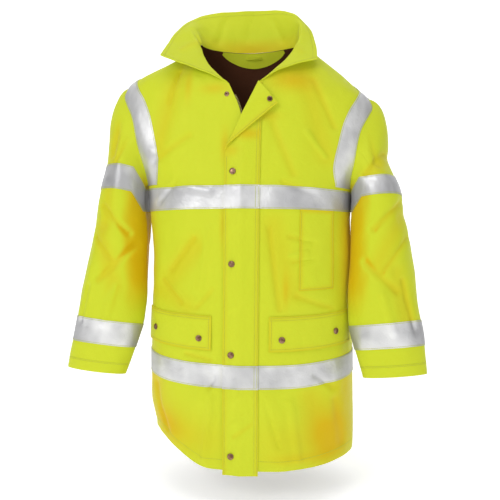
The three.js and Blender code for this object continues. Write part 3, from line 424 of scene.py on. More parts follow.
class BodyForm:
    """The hollow form that the cloth lies on, in millimetres."""

    def __init__(self) -> None:
        """Fills the section curves once, a millimetre apart."""
        self.heights = np.arange(SECTIONS[0][0], SECTIONS[-1][0] + 1, 1.0)
        keys = [row[0] for row in SECTIONS]
        columns = [smooth_curve(keys, [row[k] for row in SECTIONS], self.heights) for k in range(1, 5)]
        ridge = 115 + (287 - 115) * self.heights / SHOULDER_TIP_Z
        self.half = np.where(self.heights > SHOULDER_TIP_Z, ridge, columns[0])
        self.depths = {Face.FRONT: -columns[1], Face.BACK: columns[2]}
        self.powers = 2 / columns[3]

    def section(self, face: Face, z: Array) -> tuple[Array, Array, Array]:
        """Half-width, signed depth and power at heights z."""
        z = np.asarray(z, float)
        read = lambda values: np.interp(z, self.heights, values)
        return read(self.half), read(self.depths[face]), read(self.powers)

    def point(self, face: Face, angle: Array, z: Array) -> Array:
        """Points of the form at angles from the centre line, on the wearer's left."""
        half, depth, power = self.section(face, z)
        turn = np.radians(np.clip(angle, 0, 90))
        across = half * np.sin(turn) ** power
        deep = depth * np.maximum(np.cos(turn), 0) ** power
        return np.stack([across, deep, np.broadcast_to(z, across.shape)], axis=-1)

    def angle_at(self, x: Array, z: Array) -> Array:
        """Angle at which the form has a given half-width."""
        half, _, power = self.section(Face.FRONT, z)
        return np.degrees(np.arcsin(np.clip(x / half, 0, 1) ** (1 / power)))


def smooth_curve(keys: Sequence[float], values: Sequence[float], at: Array) -> Array:
    """A smooth curve through a short table.

    Args:
        keys: Rising or falling keys of the table.
        values: The table's values.
        at: Where the curve is read; outside the table its end values hold.

    Returns:
        The curve's values.
    """
    k = np.asarray(keys, float)
    v = np.asarray(values, float)
    if k[0] > k[-1]:
        k, v = k[::-1], v[::-1]
    slopes = np.empty_like(v)
    slopes[1:-1] = (v[2:] - v[:-2]) / (k[2:] - k[:-2])
    slopes[0] = (v[1] - v[0]) / (k[1] - k[0])
    slopes[-1] = (v[-1] - v[-2]) / (k[-1] - k[-2])
    x = np.clip(np.asarray(at, float), k[0], k[-1])
    i = np.clip(np.searchsorted(k, x, side="right") - 1, 0, len(k) - 2)
    span = k[i + 1] - k[i]
    t = (x - k[i]) / span
    low = (2 * t**3 - 3 * t**2 + 1) * v[i] + (t**3 - 2 * t**2 + t) * span * slopes[i]
    high = (3 * t**2 - 2 * t**3) * v[i + 1] + (t**3 - t**2) * span * slopes[i + 1]
    return low + high


def running(points: Array) -> Array:
    """Lengths from the first point along a line of points."""
    steps = np.linalg.norm(np.diff(points, axis=0), axis=1)
    return np.concatenate([[0.0], np.cumsum(steps)])


def at_length(points: Array, lengths: Array, at: Array) -> Array:
    """Points at given lengths along a line of points."""
    return np.stack([np.interp(at, lengths, points[:, k]) for k in range(3)], axis=-1)


def finer(points: Array, steps: Sequence[int], wraps: bool = False) -> Array:
    """Fills a line of points smoothly, keeping each given point.

    Args:
        points: Points as an array whose first axis is refined.
        steps: How many parts each stretch is cut into.
        wraps: Whether the line closes on itself.

    Returns:
        The refined points.
    """
    count = len(points)
    pieces = []
    for i, parts in enumerate(steps):
        pick = lambda k: points[k % count] if wraps else points[min(max(k, 0), count - 1)]
        p0, p1, p2, p3 = pick(i - 1), pick(i), pick(i + 1), pick(i + 2)
        if not wraps and i == 0:
            p0 = 2 * p1 - p2
        if not wraps and i == count - 2:
            p3 = 2 * p2 - p1
        for step in range(parts):
            t = step / parts
            blend = 2 * p1 + (p2 - p0) * t + (2 * p0 - 5 * p1 + 4 * p2 - p3) * t * t
            pieces.append(0.5 * (blend + (3 * p1 - p0 - 3 * p2 + p3) * t**3))
    if not wraps:
        pieces.append(points[-1])
    return np.stack(pieces)


@dataclass
class Cloth:
    """A fine grid of points with its outward normals, and where the coarse rows and columns lie in it."""

    name: str
    points: Array
    hand: int
    rows: list[int]
    columns: list[int]
    wraps: bool = False
    valid: Array | None = None
    cells: Array | None = None
    normals: Array = field(init=False)
    trough: Array = field(init=False)

    def __post_init__(self) -> None:
        """Works out the normals."""
        if self.valid is None:
            self.valid = np.ones(self.points.shape[:2], bool)
        self.trough = np.zeros(self.points.shape[:2])
        self.normals = self.find_normals()

    def neighbour(self, axis: int, step: int) -> Array:
        """Each point's neighbour along an axis, or the point itself at an edge."""
        p, ok = self.points, self.valid
        moved, there = np.roll(p, -step, axis), np.roll(ok, -step, axis)
        if not (axis == 1 and self.wraps):
            edge = [slice(None), slice(None)]
            edge[axis] = -1 if step > 0 else 0
            there = there.copy()
            there[tuple(edge)] = False
        return np.where(there[..., None], moved, p)

    def find_normals(self) -> Array:
        """Unit normals that point out of the garment."""
        across = self.neighbour(1, 1) - self.neighbour(1, -1)
        along = self.neighbour(0, 1) - self.neighbour(0, -1)
        normal = np.cross(across, along)
        length = np.linalg.norm(normal, axis=-1, keepdims=True)
        return self.hand * normal / np.maximum(length, 1e-9)

    def press(self, creases: Sequence[Crease], hold: Array | None = None) -> None:
        """Moves the points along their normals by the creases of this piece."""
        own = [c for c in creases if c.piece == self.name]
        depth = sum((c.offset(self.points) for c in own), np.zeros(self.points.shape[:2]))
        if hold is not None:
            depth = depth * hold
        self.trough = self.trough - depth
        self.points = self.points + self.normals * depth[..., None]
        self.normals = self.find_normals()

    def fold_tone(self, deepest: float = 0.4) -> Array:
        """Painted shade in the folds, deeper where the cloth was pressed in."""
        return np.clip(0.06 * self.trough, 0, deepest)

    def rumple(self, amount: float, size: float, seed: float, hold: Array | None = None) -> None:
        """Adds a soft uneven ripple.

        Args:
            amount: Greatest height in millimetres.
            size: Size of a ripple in millimetres.
            seed: Which part of the noise is read.
            hold: Share of the ripple that each point takes.
        """
        flat = self.points.reshape(-1, 3)
        heights = [noise.noise(Vector((x / size, y / size + seed, 0.55 * z / size))) for x, y, z in flat.tolist()]
        depth = amount * np.array(heights).reshape(self.points.shape[:2])
        if hold is not None:
            depth = depth * hold
        self.points = self.points + self.normals * depth[..., None]
        self.normals = self.find_normals()

    def part(self, rows: tuple[int, int], columns: tuple[int, int]) -> "Cloth":
        """The fine cloth between two coarse rows and two coarse columns."""
        low, high = self.rows[rows[0]], self.rows[rows[1]]
        left, right = self.columns[columns[0]], self.columns[columns[1]]
        whole = self.wraps and columns == (0, len(self.columns) - 1)
        cut = (slice(low, high + 1), slice(0, None) if whole else slice(left, right + 1))
        part = Cloth(self.name, self.points[cut], self.hand, [], [], whole)
        part.normals = self.normals[cut]
        return part

    def off(self, distance: Array | float) -> Array:
        """The points moved out by a distance, the same all over or one for each point."""
        distance = np.asarray(distance, float)
        return self.points + self.normals * (distance[..., None] if distance.ndim else distance)


@dataclass(frozen=True)
class Sewn:
    """What a sheet is cut to, how it is held and what it rests on."""

    flat: tuple[float, float]
    held: str = "stretched"
    rests_on: tuple[str, ...] = ()
    share: float = 1.0


def shell(
    name: str,
    outer: Array,
    inner: Array,
    materials: Sequence[bpy.types.Material],
    wraps: bool = False,
    cells: Array | None = None,
    tone: Array | None = None,
    facing: tuple[int, int] = (0, 0),
) -> bpy.types.Object:
    """A closed thin shell between two grids of points, moved to how the jacket sits.

    Args:
        name: The piece's name.
        outer: Outer points in millimetres, shape (rows, columns, 3).
        inner: Inner points, the same shape.
        materials: The outer face's finish, and the inner face's where it differs.
        wraps: Whether the columns close into a tube.
        cells: Which cells exist.
        tone: How deep the painted shade of each point is, 0 to 1.
        facing: How many first and last rows of the inner face keep the outer finish.

    Returns:
        The new mesh object.
    """
    is_sleeve = "sleeve" in name or "cuff" in name
    outer, inner = SIT.settle(outer, is_sleeve), SIT.settle(inner, is_sleeve)
    rows, count = outer.shape[:2]
    width = count if wraps else count - 1
    if cells is None:
        cells = np.ones((rows - 1, width), bool)
    total = rows * count
    i, j = np.nonzero(cells)
    nxt = (j + 1) % count
    a, b = i * count + j, i * count + nxt
    c, d = (i + 1) * count + nxt, (i + 1) * count + j
    faces = [np.stack([a, b, c, d], 1), np.stack([a, d, c, b], 1) + total]
    lined = (i >= facing[0]) & (i < rows - 1 - facing[1])
    kinds = [np.zeros(len(a), int), lined.astype(int)]
    padded = np.zeros((rows + 1, width + 2), bool)
    padded[1:-1, 1:-1] = cells
    if wraps:
        padded[:, 0], padded[:, -1] = padded[:, -2], padded[:, 1]
    open_low = cells & ~padded[:-2, 1:-1]
    open_high = cells & ~padded[2:, 1:-1]
    open_left = cells & ~padded[1:-1, :-2]
    open_right = cells & ~padded[1:-1, 2:]
    for mask, first, second in ((open_low, a, b), (open_high, c, d), (open_left, d, a), (open_right, b, c)):
        there = mask[i, j]
        p, q = first[there], second[there]
        faces.append(np.stack([p, p + total, q + total, q], 1))
        kinds.append(np.zeros(len(p), int))
    quads = np.concatenate(faces)
    kind = np.concatenate(kinds)
    points = np.concatenate([outer.reshape(-1, 3), inner.reshape(-1, 3)]) * MM
    corner = points[quads]
    volume = np.einsum("ij,ij->i", corner[:, 0], np.cross(corner[:, 1], corner[:, 2])).sum()
    volume += np.einsum("ij,ij->i", corner[:, 0], np.cross(corner[:, 2], corner[:, 3])).sum()
    if volume < 0:
        quads = quads[:, ::-1]
    used, quads = np.unique(quads, return_inverse=True)
    quads = quads.reshape(-1, 4)
    mesh = bpy.data.meshes.new(name)
    mesh.from_pydata(points[used].tolist(), [], quads.tolist())
    for material in materials:
        mesh.materials.append(material)
    mesh.polygons.foreach_set("material_index", np.minimum(kind, len(materials) - 1))
    lay_uv(mesh, outer, used, total)
    # Painted shade values, stored on both faces for the materials to mix in.
    shade = mesh.attributes.new("tone", "FLOAT", "POINT")
    values = np.zeros(total) if tone is None else tone.reshape(-1)
    shade.data.foreach_set("value", np.concatenate([values, values])[used])
    piece = bpy.data.objects.new(name, mesh)
    bpy.context.scene.collection.objects.link(piece)
    smooth(piece)
    return piece


def lay_uv(mesh: bpy.types.Mesh, outer: Array, used: Array, total: int) -> None:
    """Lays a UV map whose unit is a metre of cloth across and along the grid."""
    across = np.concatenate([np.zeros((len(outer), 1)), np.linalg.norm(np.diff(outer, axis=1), axis=2).cumsum(1)], 1)
    along = np.concatenate([np.zeros((1, outer.shape[1])), np.linalg.norm(np.diff(outer, axis=0), axis=2).cumsum(0)])
    flat = np.stack([across, along], -1).reshape(-1, 2) * MM
    flat = np.concatenate([flat, flat])[used]
    layer = mesh.uv_layers.new(name="cloth")
    vertex = np.empty(len(mesh.loops), int)
    mesh.loops.foreach_get("vertex_index", vertex)
    layer.data.foreach_set("uv", flat[vertex].reshape(-1))


def smooth(piece: bpy.types.Object) -> None:
    """Shades a piece smooth, with its rims crisp."""
    bpy.ops.object.select_all(action="DESELECT")
    piece.select_set(True)
    bpy.context.view_layer.objects.active = piece
    bpy.ops.object.shade_smooth_by_angle(angle=math.radians(42))
    piece.select_set(False)


class BodyPanels:
    """The two fronts and the back, as fine cloth on the body form."""

    def __init__(self, form: BodyForm, cell: float = 4.5) -> None:
        """Builds the three panels.

        Args:
            form: The form that the cloth lies on.
            cell: Size of a cloth cell in millimetres.
        """
        self.form = form
        self.cell = cell
        left_points, self.front_rows, self.front_columns, self.front_places = self.half(Face.FRONT)
        back_points, self.back_rows, self.back_columns, self.back_places = self.half(Face.BACK)
        flip = np.array([-1.0, 1.0, 1.0])
        self.fronts = {
            Side.RIGHT: self.front("front_right", left_points * flip, -1),
            Side.LEFT: self.front("front_left", left_points.copy(), 1),
        }
        whole = np.concatenate([(back_points * flip)[:, :0:-1], back_points], axis=1)
        self.middle = back_points.shape[1] - 1
        self.back = self.make_back(whole)

    def yoke_line(self, face: Face, v: float) -> Array:
        """One row of the yoke as a fine line from the centre edge to the armhole.

        Args:
            face: Front or back.
            v: Share of the way from the underarm to the shoulder.

        Returns:
            Points of the line.
        """
        neck = np.array(NECKLINES[face], float)
        edge = np.array(ARMHOLES[face], float)
        top = neck[0, 0]
        z_left = lerp(BODY_ROWS[ARMHOLE_ROW][0], top, v)
        z_right = lerp(edge[0, 0], SHOULDER_TIP_Z, v)
        opening = np.array(FRONT_OPENING, float)
        half_gap = max(FRONT_EDGE, float(smooth_curve(opening[:, 0], opening[:, 1], z_left)))
        angle_left = float(self.form.angle_at(half_gap, z_left)) if face is Face.FRONT else 0.0
        angle_right = float(smooth_curve(edge[:, 0], edge[:, 1], z_right))
        t = np.linspace(0, 1, 61)
        neck_t = np.minimum(2 * t, 1)
        z_neck = top * (1 - neck_t) ** 1.25
        z_top = np.where(t < 0.5, z_neck, SHOULDER_TIP_Z * (2 * t - 1))
        round_neck = 90 * neck_t if face is Face.BACK else smooth_curve(neck[:, 0], neck[:, 1], z_neck)
        angle_top = np.where(t < 0.5, round_neck, 90)
        share = (angle_top - neck[0, 1]) / (90 - neck[0, 1])
        angle = lerp(angle_left, angle_right, lerp(t, share, v**3))
        z = lerp(z_left, z_right, t) + v * (z_top - lerp(top, SHOULDER_TIP_Z, t))
        return self.form.point(face, angle, z)

    def half(self, face: Face) -> tuple[Array, list[int], list[int], tuple[Array, Array]]:
        """The wearer's left half of the front or back.

        Args:
            face: Front or back.

        Returns:
            The points, where the coarse rows and columns lie, and each fine row's and column's coarse place.
        """
        layout = LAYOUTS[face]
        angles = np.array(layout.angles, float)
        base_z, base_rise = BODY_ROWS[ARMHOLE_ROW]
        base = self.form.point(face, angles, base_z + base_rise * np.sin(np.radians(angles)) ** 2)
        base_lengths = running(base)
        parts = [max(1, round(step / self.cell)) for step in np.diff(base_lengths)]
        columns = places(parts)
        fine_angles = np.interp(columns, np.arange(len(angles)), angles)
        lengths = np.interp(columns, np.arange(len(angles)), base_lengths)
        rows = [
            self.form.point(face, fine_angles, z + rise * np.sin(np.radians(fine_angles)) ** 2)
            for z, rise in BODY_ROWS
        ]
        for i in range(1, YOKE_ROWS + 1):
            rows.append(self.yoke_row(face, layout, i / YOKE_ROWS, columns, lengths))
        points = np.stack(rows)
        spans = np.linalg.norm(np.diff(points, axis=0), axis=2)
        open_part = columns <= layout.armhole
        row_parts = [max(1, round(float(span[open_part].max()) / self.cell)) for span in spans]
        points = np.concatenate(
            [
                finer(points[: ARMHOLE_ROW + 1], row_parts[:ARMHOLE_ROW])[:-1],
                finer(points[ARMHOLE_ROW:], row_parts[ARMHOLE_ROW:]),
            ]
        )
        return points, starts(row_parts), starts(parts), (places(row_parts), columns)

    def yoke_row(self, face: Face, layout: Layout, v: float, columns: Array, base_lengths: Array) -> Array:
        """One row above the underarm, whose band columns keep their distance from the armhole."""
        line = self.yoke_line(face, v)
        lengths = running(line)
        total = lengths[-1]
        open_width = total - BAND_WIDTH
        neck_length = lengths[len(lengths) // 2] / open_width
        low = base_lengths / np.interp(layout.band, columns, base_lengths)
        past_neck = (columns - layout.neck) / (layout.band - layout.neck)
        high = np.where(columns <= layout.neck, neck_length * columns / layout.neck, lerp(neck_length, 1, past_neck))
        step = BAND_WIDTH / (layout.armhole - layout.band)
        on_band = total - (layout.armhole - columns) * step
        at = np.where(columns >= layout.band, on_band, open_width * lerp(low, high, v * v))
        return at_length(line, lengths, np.minimum(at, total))

    def front(self, name: str, points: Array, hand: int) -> Cloth:
        """A front panel with its creases."""
        rows, columns = self.front_places
        return self.dress(name, points, hand, LAYOUTS[Face.FRONT], rows, columns, self.front_rows, self.front_columns)

    def make_back(self, points: Array) -> Cloth:
        """The back panel with its creases."""
        rows, half = self.back_places
        away = np.concatenate([half[:0:-1], half])
        left = [self.middle + k for k in self.back_columns]
        right = [self.middle - k for k in self.back_columns[:0:-1]]
        return self.dress("back_panel", points, -1, LAYOUTS[Face.BACK], rows, away, self.back_rows, right + left)

    def dress(
        self,
        name: str,
        points: Array,
        hand: int,
        layout: Layout,
        rows: Array,
        away: Array,
        row_starts: list[int],
        column_starts: list[int],
    ) -> Cloth:
        """Presses folds and creases into a panel and keeps its seams where they are.

        Args:
            name: The panel's name.
            points: Its points on the form.
            hand: Which way its grid runs.
            layout: Its column layout.
            rows: Each fine row's coarse place.
            away: Each fine column's coarse distance from the centre.
            row_starts: Fine index of each coarse row.
            column_starts: Fine index of each coarse column.

        Returns:
            The cloth.
        """
        r, c = np.meshgrid(rows, away, indexing="ij")
        last = len(layout.angles) - 1
        valid = (r <= ARMHOLE_ROW + 1e-6) | (c <= layout.armhole + 1e-6)
        cloth = Cloth(name, points, hand, row_starts, column_starts, valid=valid)
        on_shoulder = np.where(c >= layout.neck - 1e-6, np.clip(TOP_ROW - r, 0, 1), 1.0)
        hold = np.clip(last - c, 0, 1) * on_shoulder
        cloth.press(PRESSED_FOLDS, hold)
        edge = np.where(r > ARMHOLE_ROW, np.clip((layout.armhole - c) / 1.5, 0, 1), 1.0)
        at_neck = np.clip((TOP_ROW - r) / 1.2, 0, 1)
        calm = ease(hold) * ease(edge) * ease(at_neck)
        if name != "back_panel":
            calm = calm * ease(np.clip((np.abs(points[..., 0]) - 44) / 26, 0, 1))
        cloth.press(FINE_CREASES, calm * CREASE_GAIN)
        cloth.rumple(2.8, 74, SEEDS[name], calm)
        cloth.rumple(1.1, 25, SEEDS[name] + 40, calm)
        seam = (c > last - 1e-6) | ((r > TOP_ROW - 1e-6) & (c >= layout.neck - 1e-6))
        cloth.normals[seam, 1] = 0
        cloth.normals /= np.maximum(np.linalg.norm(cloth.normals, axis=-1, keepdims=True), 1e-9)
        cloth.cells = self.cells(r, c, layout)
        return cloth

    @staticmethod
    def cells(r: Array, c: Array, layout: Layout) -> Array:
        """Which cells of a panel are cloth."""
        middle_r = (r[:-1, :-1] + r[1:, 1:]) / 2
        middle_c = (c[:-1, :-1] + c[1:, 1:]) / 2
        return (middle_r < ARMHOLE_ROW) | (middle_c < layout.armhole)

    def edge_of(self, cloth: Cloth, i: int, j: int, from_i: int, from_j: int) -> "SeamEdge":
        """The place just past a panel's edge, where the next piece is sewn on."""
        point = cloth.points[i, j]
        out = point - cloth.points[from_i, from_j]
        out = out / np.linalg.norm(out)
        return SeamEdge(point + out * SEAM_GAP, cloth.normals[i, j], out)

    def armhole_ring(self, side: Side) -> list["SeamEdge"]:
        """The armhole's edge as a closed ring: underarm, up the front, over the shoulder, down the back."""
        front = self.fronts[side]
        up = self.armhole_run(front, lambda k: k, self.front_columns, self.front_rows, Face.FRONT)
        down = self.armhole_run(
            self.back, lambda k: self.middle + side.value * k, self.back_columns, self.back_rows, Face.BACK
        )
        tip = up[-1].halfway(down[-1])
        underarm = up[0].halfway(down[0])
        return [underarm, *up[1:-1], tip, *down[-2:0:-1]]

    def armhole_run(
        self, cloth: Cloth, column: Callable[[int], int], columns: list[int], rows: list[int], face: Face
    ) -> list["SeamEdge"]:
        """Edges from the side seam along the underarm and up the armhole."""
        layout = LAYOUTS[face]
        base, top = rows[ARMHOLE_ROW], rows[-1]
        side_column, arm = columns[-1], columns[layout.armhole]
        under = [self.edge_of(cloth, base, column(j), base - 1, column(j)) for j in range(side_column, arm, -1)]
        up = [self.edge_of(cloth, i, column(arm), i, column(arm - 1)) for i in range(base, top + 1)]
        return under + up


@dataclass(frozen=True)
class SeamEdge:
    """A place on a seam: its point, the cloth's normal and the way out of the panel."""

    point: Array
    normal: Array
    out: Array

    def halfway(self, other: "SeamEdge") -> "SeamEdge":
        """The place midway to another one."""
        normal, out = self.normal + other.normal, self.out + other.out
        length = max(float(np.linalg.norm(out)), 1e-9)
        return SeamEdge((self.point + other.point) / 2, normal / np.linalg.norm(normal), out / length)


def lerp(a: Array | float, b: Array | float, t: Array | float) -> Array | float:
    """Value between a and b."""
    return a + (b - a) * t


def ease(t: Array) -> Array:
    """Smooth step of a share between 0 and 1."""
    return t * t * (3 - 2 * t)


def places(parts: Sequence[int]) -> Array:
    """Coarse place of each fine row or column."""
    return np.array([k + i / n for k, n in enumerate(parts) for i in range(n)] + [len(parts)], float)


def starts(parts: Sequence[int]) -> list[int]:
    """Fine index of each coarse row or column."""
    return [0, *np.cumsum(parts).tolist()]


CREASE_GAIN = 2.2
SEEDS = {
    "front_right": 3.0,
    "front_left": 11.0,
    "back_panel": 23.0,
    "sleeve_right": 31.0,
    "sleeve_left": 47.0,
    "collar": 59.0,
}


class Sleeve:
    """One sleeve, from the armhole's edge over the cap and down to the cuff."""

    def __init__(self, panels: BodyPanels, side: Side, cell: float = 4.5) -> None:
        """Builds the sleeve's cloth.

        Args:
            panels: The body panels that it is sewn to.
            side: The wearer's side.
            cell: Size of a cloth cell in millimetres.
        """
        self.form = panels.form
        self.side = side
        self.ring = panels.armhole_ring(side)
        self.shares = self.ring_shares()
        full = [self.section_ring(entry, k == 0) for k, entry in enumerate(SLEEVE_SECTIONS)]
        full[1][:, 2] = np.minimum(full[1][:, 2], full[0][:, 2] - BAND_WIDTH)
        cap_steps = 26
        cap = [self.cap_ring(full[0], k / cap_steps) for k in range(cap_steps)]
        full_points = np.stack(full)
        spans = np.linalg.norm(np.diff(full_points, axis=0), axis=2).max(axis=1)
        parts = [max(2, round(float(span) / cell)) for span in spans]
        points = np.concatenate([np.stack(cap), finer(full_points, parts)])
        coarse_cap = [round(t * cap_steps) for t in CAP_STEPS]
        rows = [0, *coarse_cap, *[cap_steps + k for k in starts(parts)]]
        name = f"sleeve_{side.word}"
        count = points.shape[1]
        self.cloth = Cloth(name, points, -side.value, rows, list(range(count + 1)), wraps=True)
        row = np.arange(len(points))[:, None] * np.ones((1, count))
        self.cloth.press(PRESSED_FOLDS, np.clip((row - rows[1]) / (rows[2] - rows[1]), 0, 1))
        calm = ease(np.clip((row - 3) / 14, 0, 1))
        self.cloth.press(FINE_CREASES, calm * CREASE_GAIN)
        self.cloth.rumple(3.0, 62, SEEDS[name], calm)
        self.cloth.rumple(1.1, 24, SEEDS[name] + 40, calm)
        self.cloth.normals[0] = np.stack([edge.normal for edge in self.ring])
        self.tone = self.inner_tone()

    def inner_tone(self) -> Array:
        """Painted shade where the sleeve faces the body."""
        inward = -self.side.value * self.cloth.normals[..., 0]
        z = self.cloth.points[..., 2]
        window = step_between(z, -640, -540) * step_between(-z, 300, 350)
        return 0.95 * step_between(inward, 0.3, 0.85) * window

    def ring_shares(self) -> Array:
        """Shares of the way round the ring: 0 at the underarm, 1 at the shoulder, 2 back at the underarm."""
        points = np.stack([edge.point for edge in self.ring])
        top = int(np.argmax(points[:, 2]))
        forward = running(points[: top + 1])
        backward = running(np.concatenate([points[top:], points[:1]]))
        return np.concatenate([forward / forward[-1], 1 + backward[1:-1] / backward[-1]])

    def section_ring(self, entry: tuple[float, ...], is_first: bool) -> Array:
        """One ring of the sleeve at a section of the table."""
        z, x, y, across, deep, rise = entry
        turn = self.shares * math.pi
        dx, dy = -np.cos(turn) * across, -np.sin(turn) * deep
        hang = HANGS[self.side]
        down = (SLEEVE_SECTIONS[0][0] - z) / SLEEVE_LENGTH
        level = z + rise * dx - 0.14 * dy + lerp(hang.upper, hang.cuff, down)
        if is_first:
            level = np.minimum(level, np.array([edge.point[2] for edge in self.ring]) - UNDERARM_DROP)
        points = np.stack([self.side.value * (x + dx + hang.out * down), y + dy, level], -1)
        return self.clear_of_body(points)

    def clear_of_body(self, points: Array) -> Array:
        """Moves points out of the space that the body and its clearance fill."""
        half, front, power = self.form.section(Face.FRONT, points[:, 2])
        back = self.form.section(Face.BACK, points[:, 2])[1]
        reach_y = np.where(points[:, 1] < 0, -front, back) + SLEEVE_CLEAR
        p = 2 / power
        fill = (np.abs(points[:, 0]) / (half + SLEEVE_CLEAR)) ** p + (np.abs(points[:, 1]) / reach_y) ** p
        out = np.where(fill < 1, fill ** (-1 / p), 1.0)
        return points * np.stack([out, out, np.ones_like(out)], -1)

    def cap_ring(self, goal: Array, t: float) -> Array:
        """One ring of the cap, on curves from the armhole's edge to the first full ring."""
        start = np.stack([edge.point for edge in self.ring])
        normal = np.stack([edge.normal for edge in self.ring])
        out = np.stack([edge.out for edge in self.ring])
        reach = np.maximum(np.linalg.norm(goal - start, axis=1) * 0.9, 16)[:, None]
        low = np.sqrt(np.maximum(np.cos(self.shares * math.pi), 0))[:, None]
        leave = out * 0.45 + normal * 0.9 * low + np.array([self.side.value, 0, 0]) * 0.9 * (1 - low)
        leave = leave / np.linalg.norm(leave, axis=1, keepdims=True)
        arrive = np.array([self.side.value * 0.12, -0.14, -0.98])
        h00, h10 = 2 * t**3 - 3 * t**2 + 1, t**3 - 2 * t**2 + t
        h01, h11 = 3 * t**2 - 2 * t**3, t**3 - t**2
        return start * h00 + leave * (h10 * reach) + goal * h01 + arrive * (h11 * reach)


class Collar:
    """The open collar, standing at the back of the neck with its wings folded outwards."""

    STAND_FRONT = 8.0
    STAND_SHOULDER = 24.0
    FORWARD = 14.0

    def __init__(self, panels: BodyPanels, rows: int = 34) -> None:
        """Builds the collar's cloth.

        Args:
            panels: The body panels that it is sewn to.
            rows: Rows of cloth from the neckline to the free edge.
        """
        self.stations = self.neck_stations(panels)
        base = np.stack([s.point for s in self.stations])
        edge = finer(np.array(COLLAR_EDGE, float), [10] * (len(COLLAR_EDGE) - 1))
        share = running(base) / running(base)[-1]
        top = at_length(edge, running(edge), share * running(edge)[-1])
        to_back = np.sin(share * math.pi)
        bend = lerp(base, top, 0.42)
        stand = self.STAND_FRONT + self.STAND_SHOULDER * np.sin(2 * share * math.pi) ** 2
        bend[:, 2] += stand * (1 - 0.4 * to_back)
        bend[:, 1] -= self.FORWARD * (1 - to_back) ** 2
        steps = np.linspace(0, 1, rows + 1)
        points = np.stack([lerp(lerp(base, bend, t), lerp(bend, top, t), t) for t in steps])
        self.cloth = Cloth("collar", points, -1, [0, rows], [0, points.shape[1] - 1])
        calm = ease(np.clip(steps / 0.25, 0, 1))[:, None] * np.ones((1, points.shape[1]))
        self.cloth.press(FINE_CREASES, calm)
        self.cloth.rumple(2.2, 46, SEEDS["collar"], calm)
        self.cloth.rumple(0.7, 18, SEEDS["collar"] + 40, calm)
        self.cloth.normals[0] = np.stack([s.normal for s in self.stations])

    @staticmethod
    def neck_stations(panels: BodyPanels) -> list[SeamEdge]:
        """The neckline from the wearer's right front edge round the back to the left one."""

        def station(cloth: Cloth, j: int) -> SeamEdge:
            return panels.edge_of(cloth, -1, j, -2, j)

        neck = panels.front_columns[LAYOUTS[Face.FRONT].neck]
        reach = panels.back_columns[LAYOUTS[Face.BACK].neck]
        right = [station(panels.fronts[Side.RIGHT], j) for j in range(neck + 1)]
        left = [station(panels.fronts[Side.LEFT], j) for j in range(neck, -1, -1)]
        behind = [station(panels.back, panels.middle + j) for j in range(-reach, reach + 1)]
        tips = right[-1].halfway(behind[0]), behind[-1].halfway(left[0])
        return [*right[:-1], tips[0], *behind[1:-1], tips[1], *left[1:]]


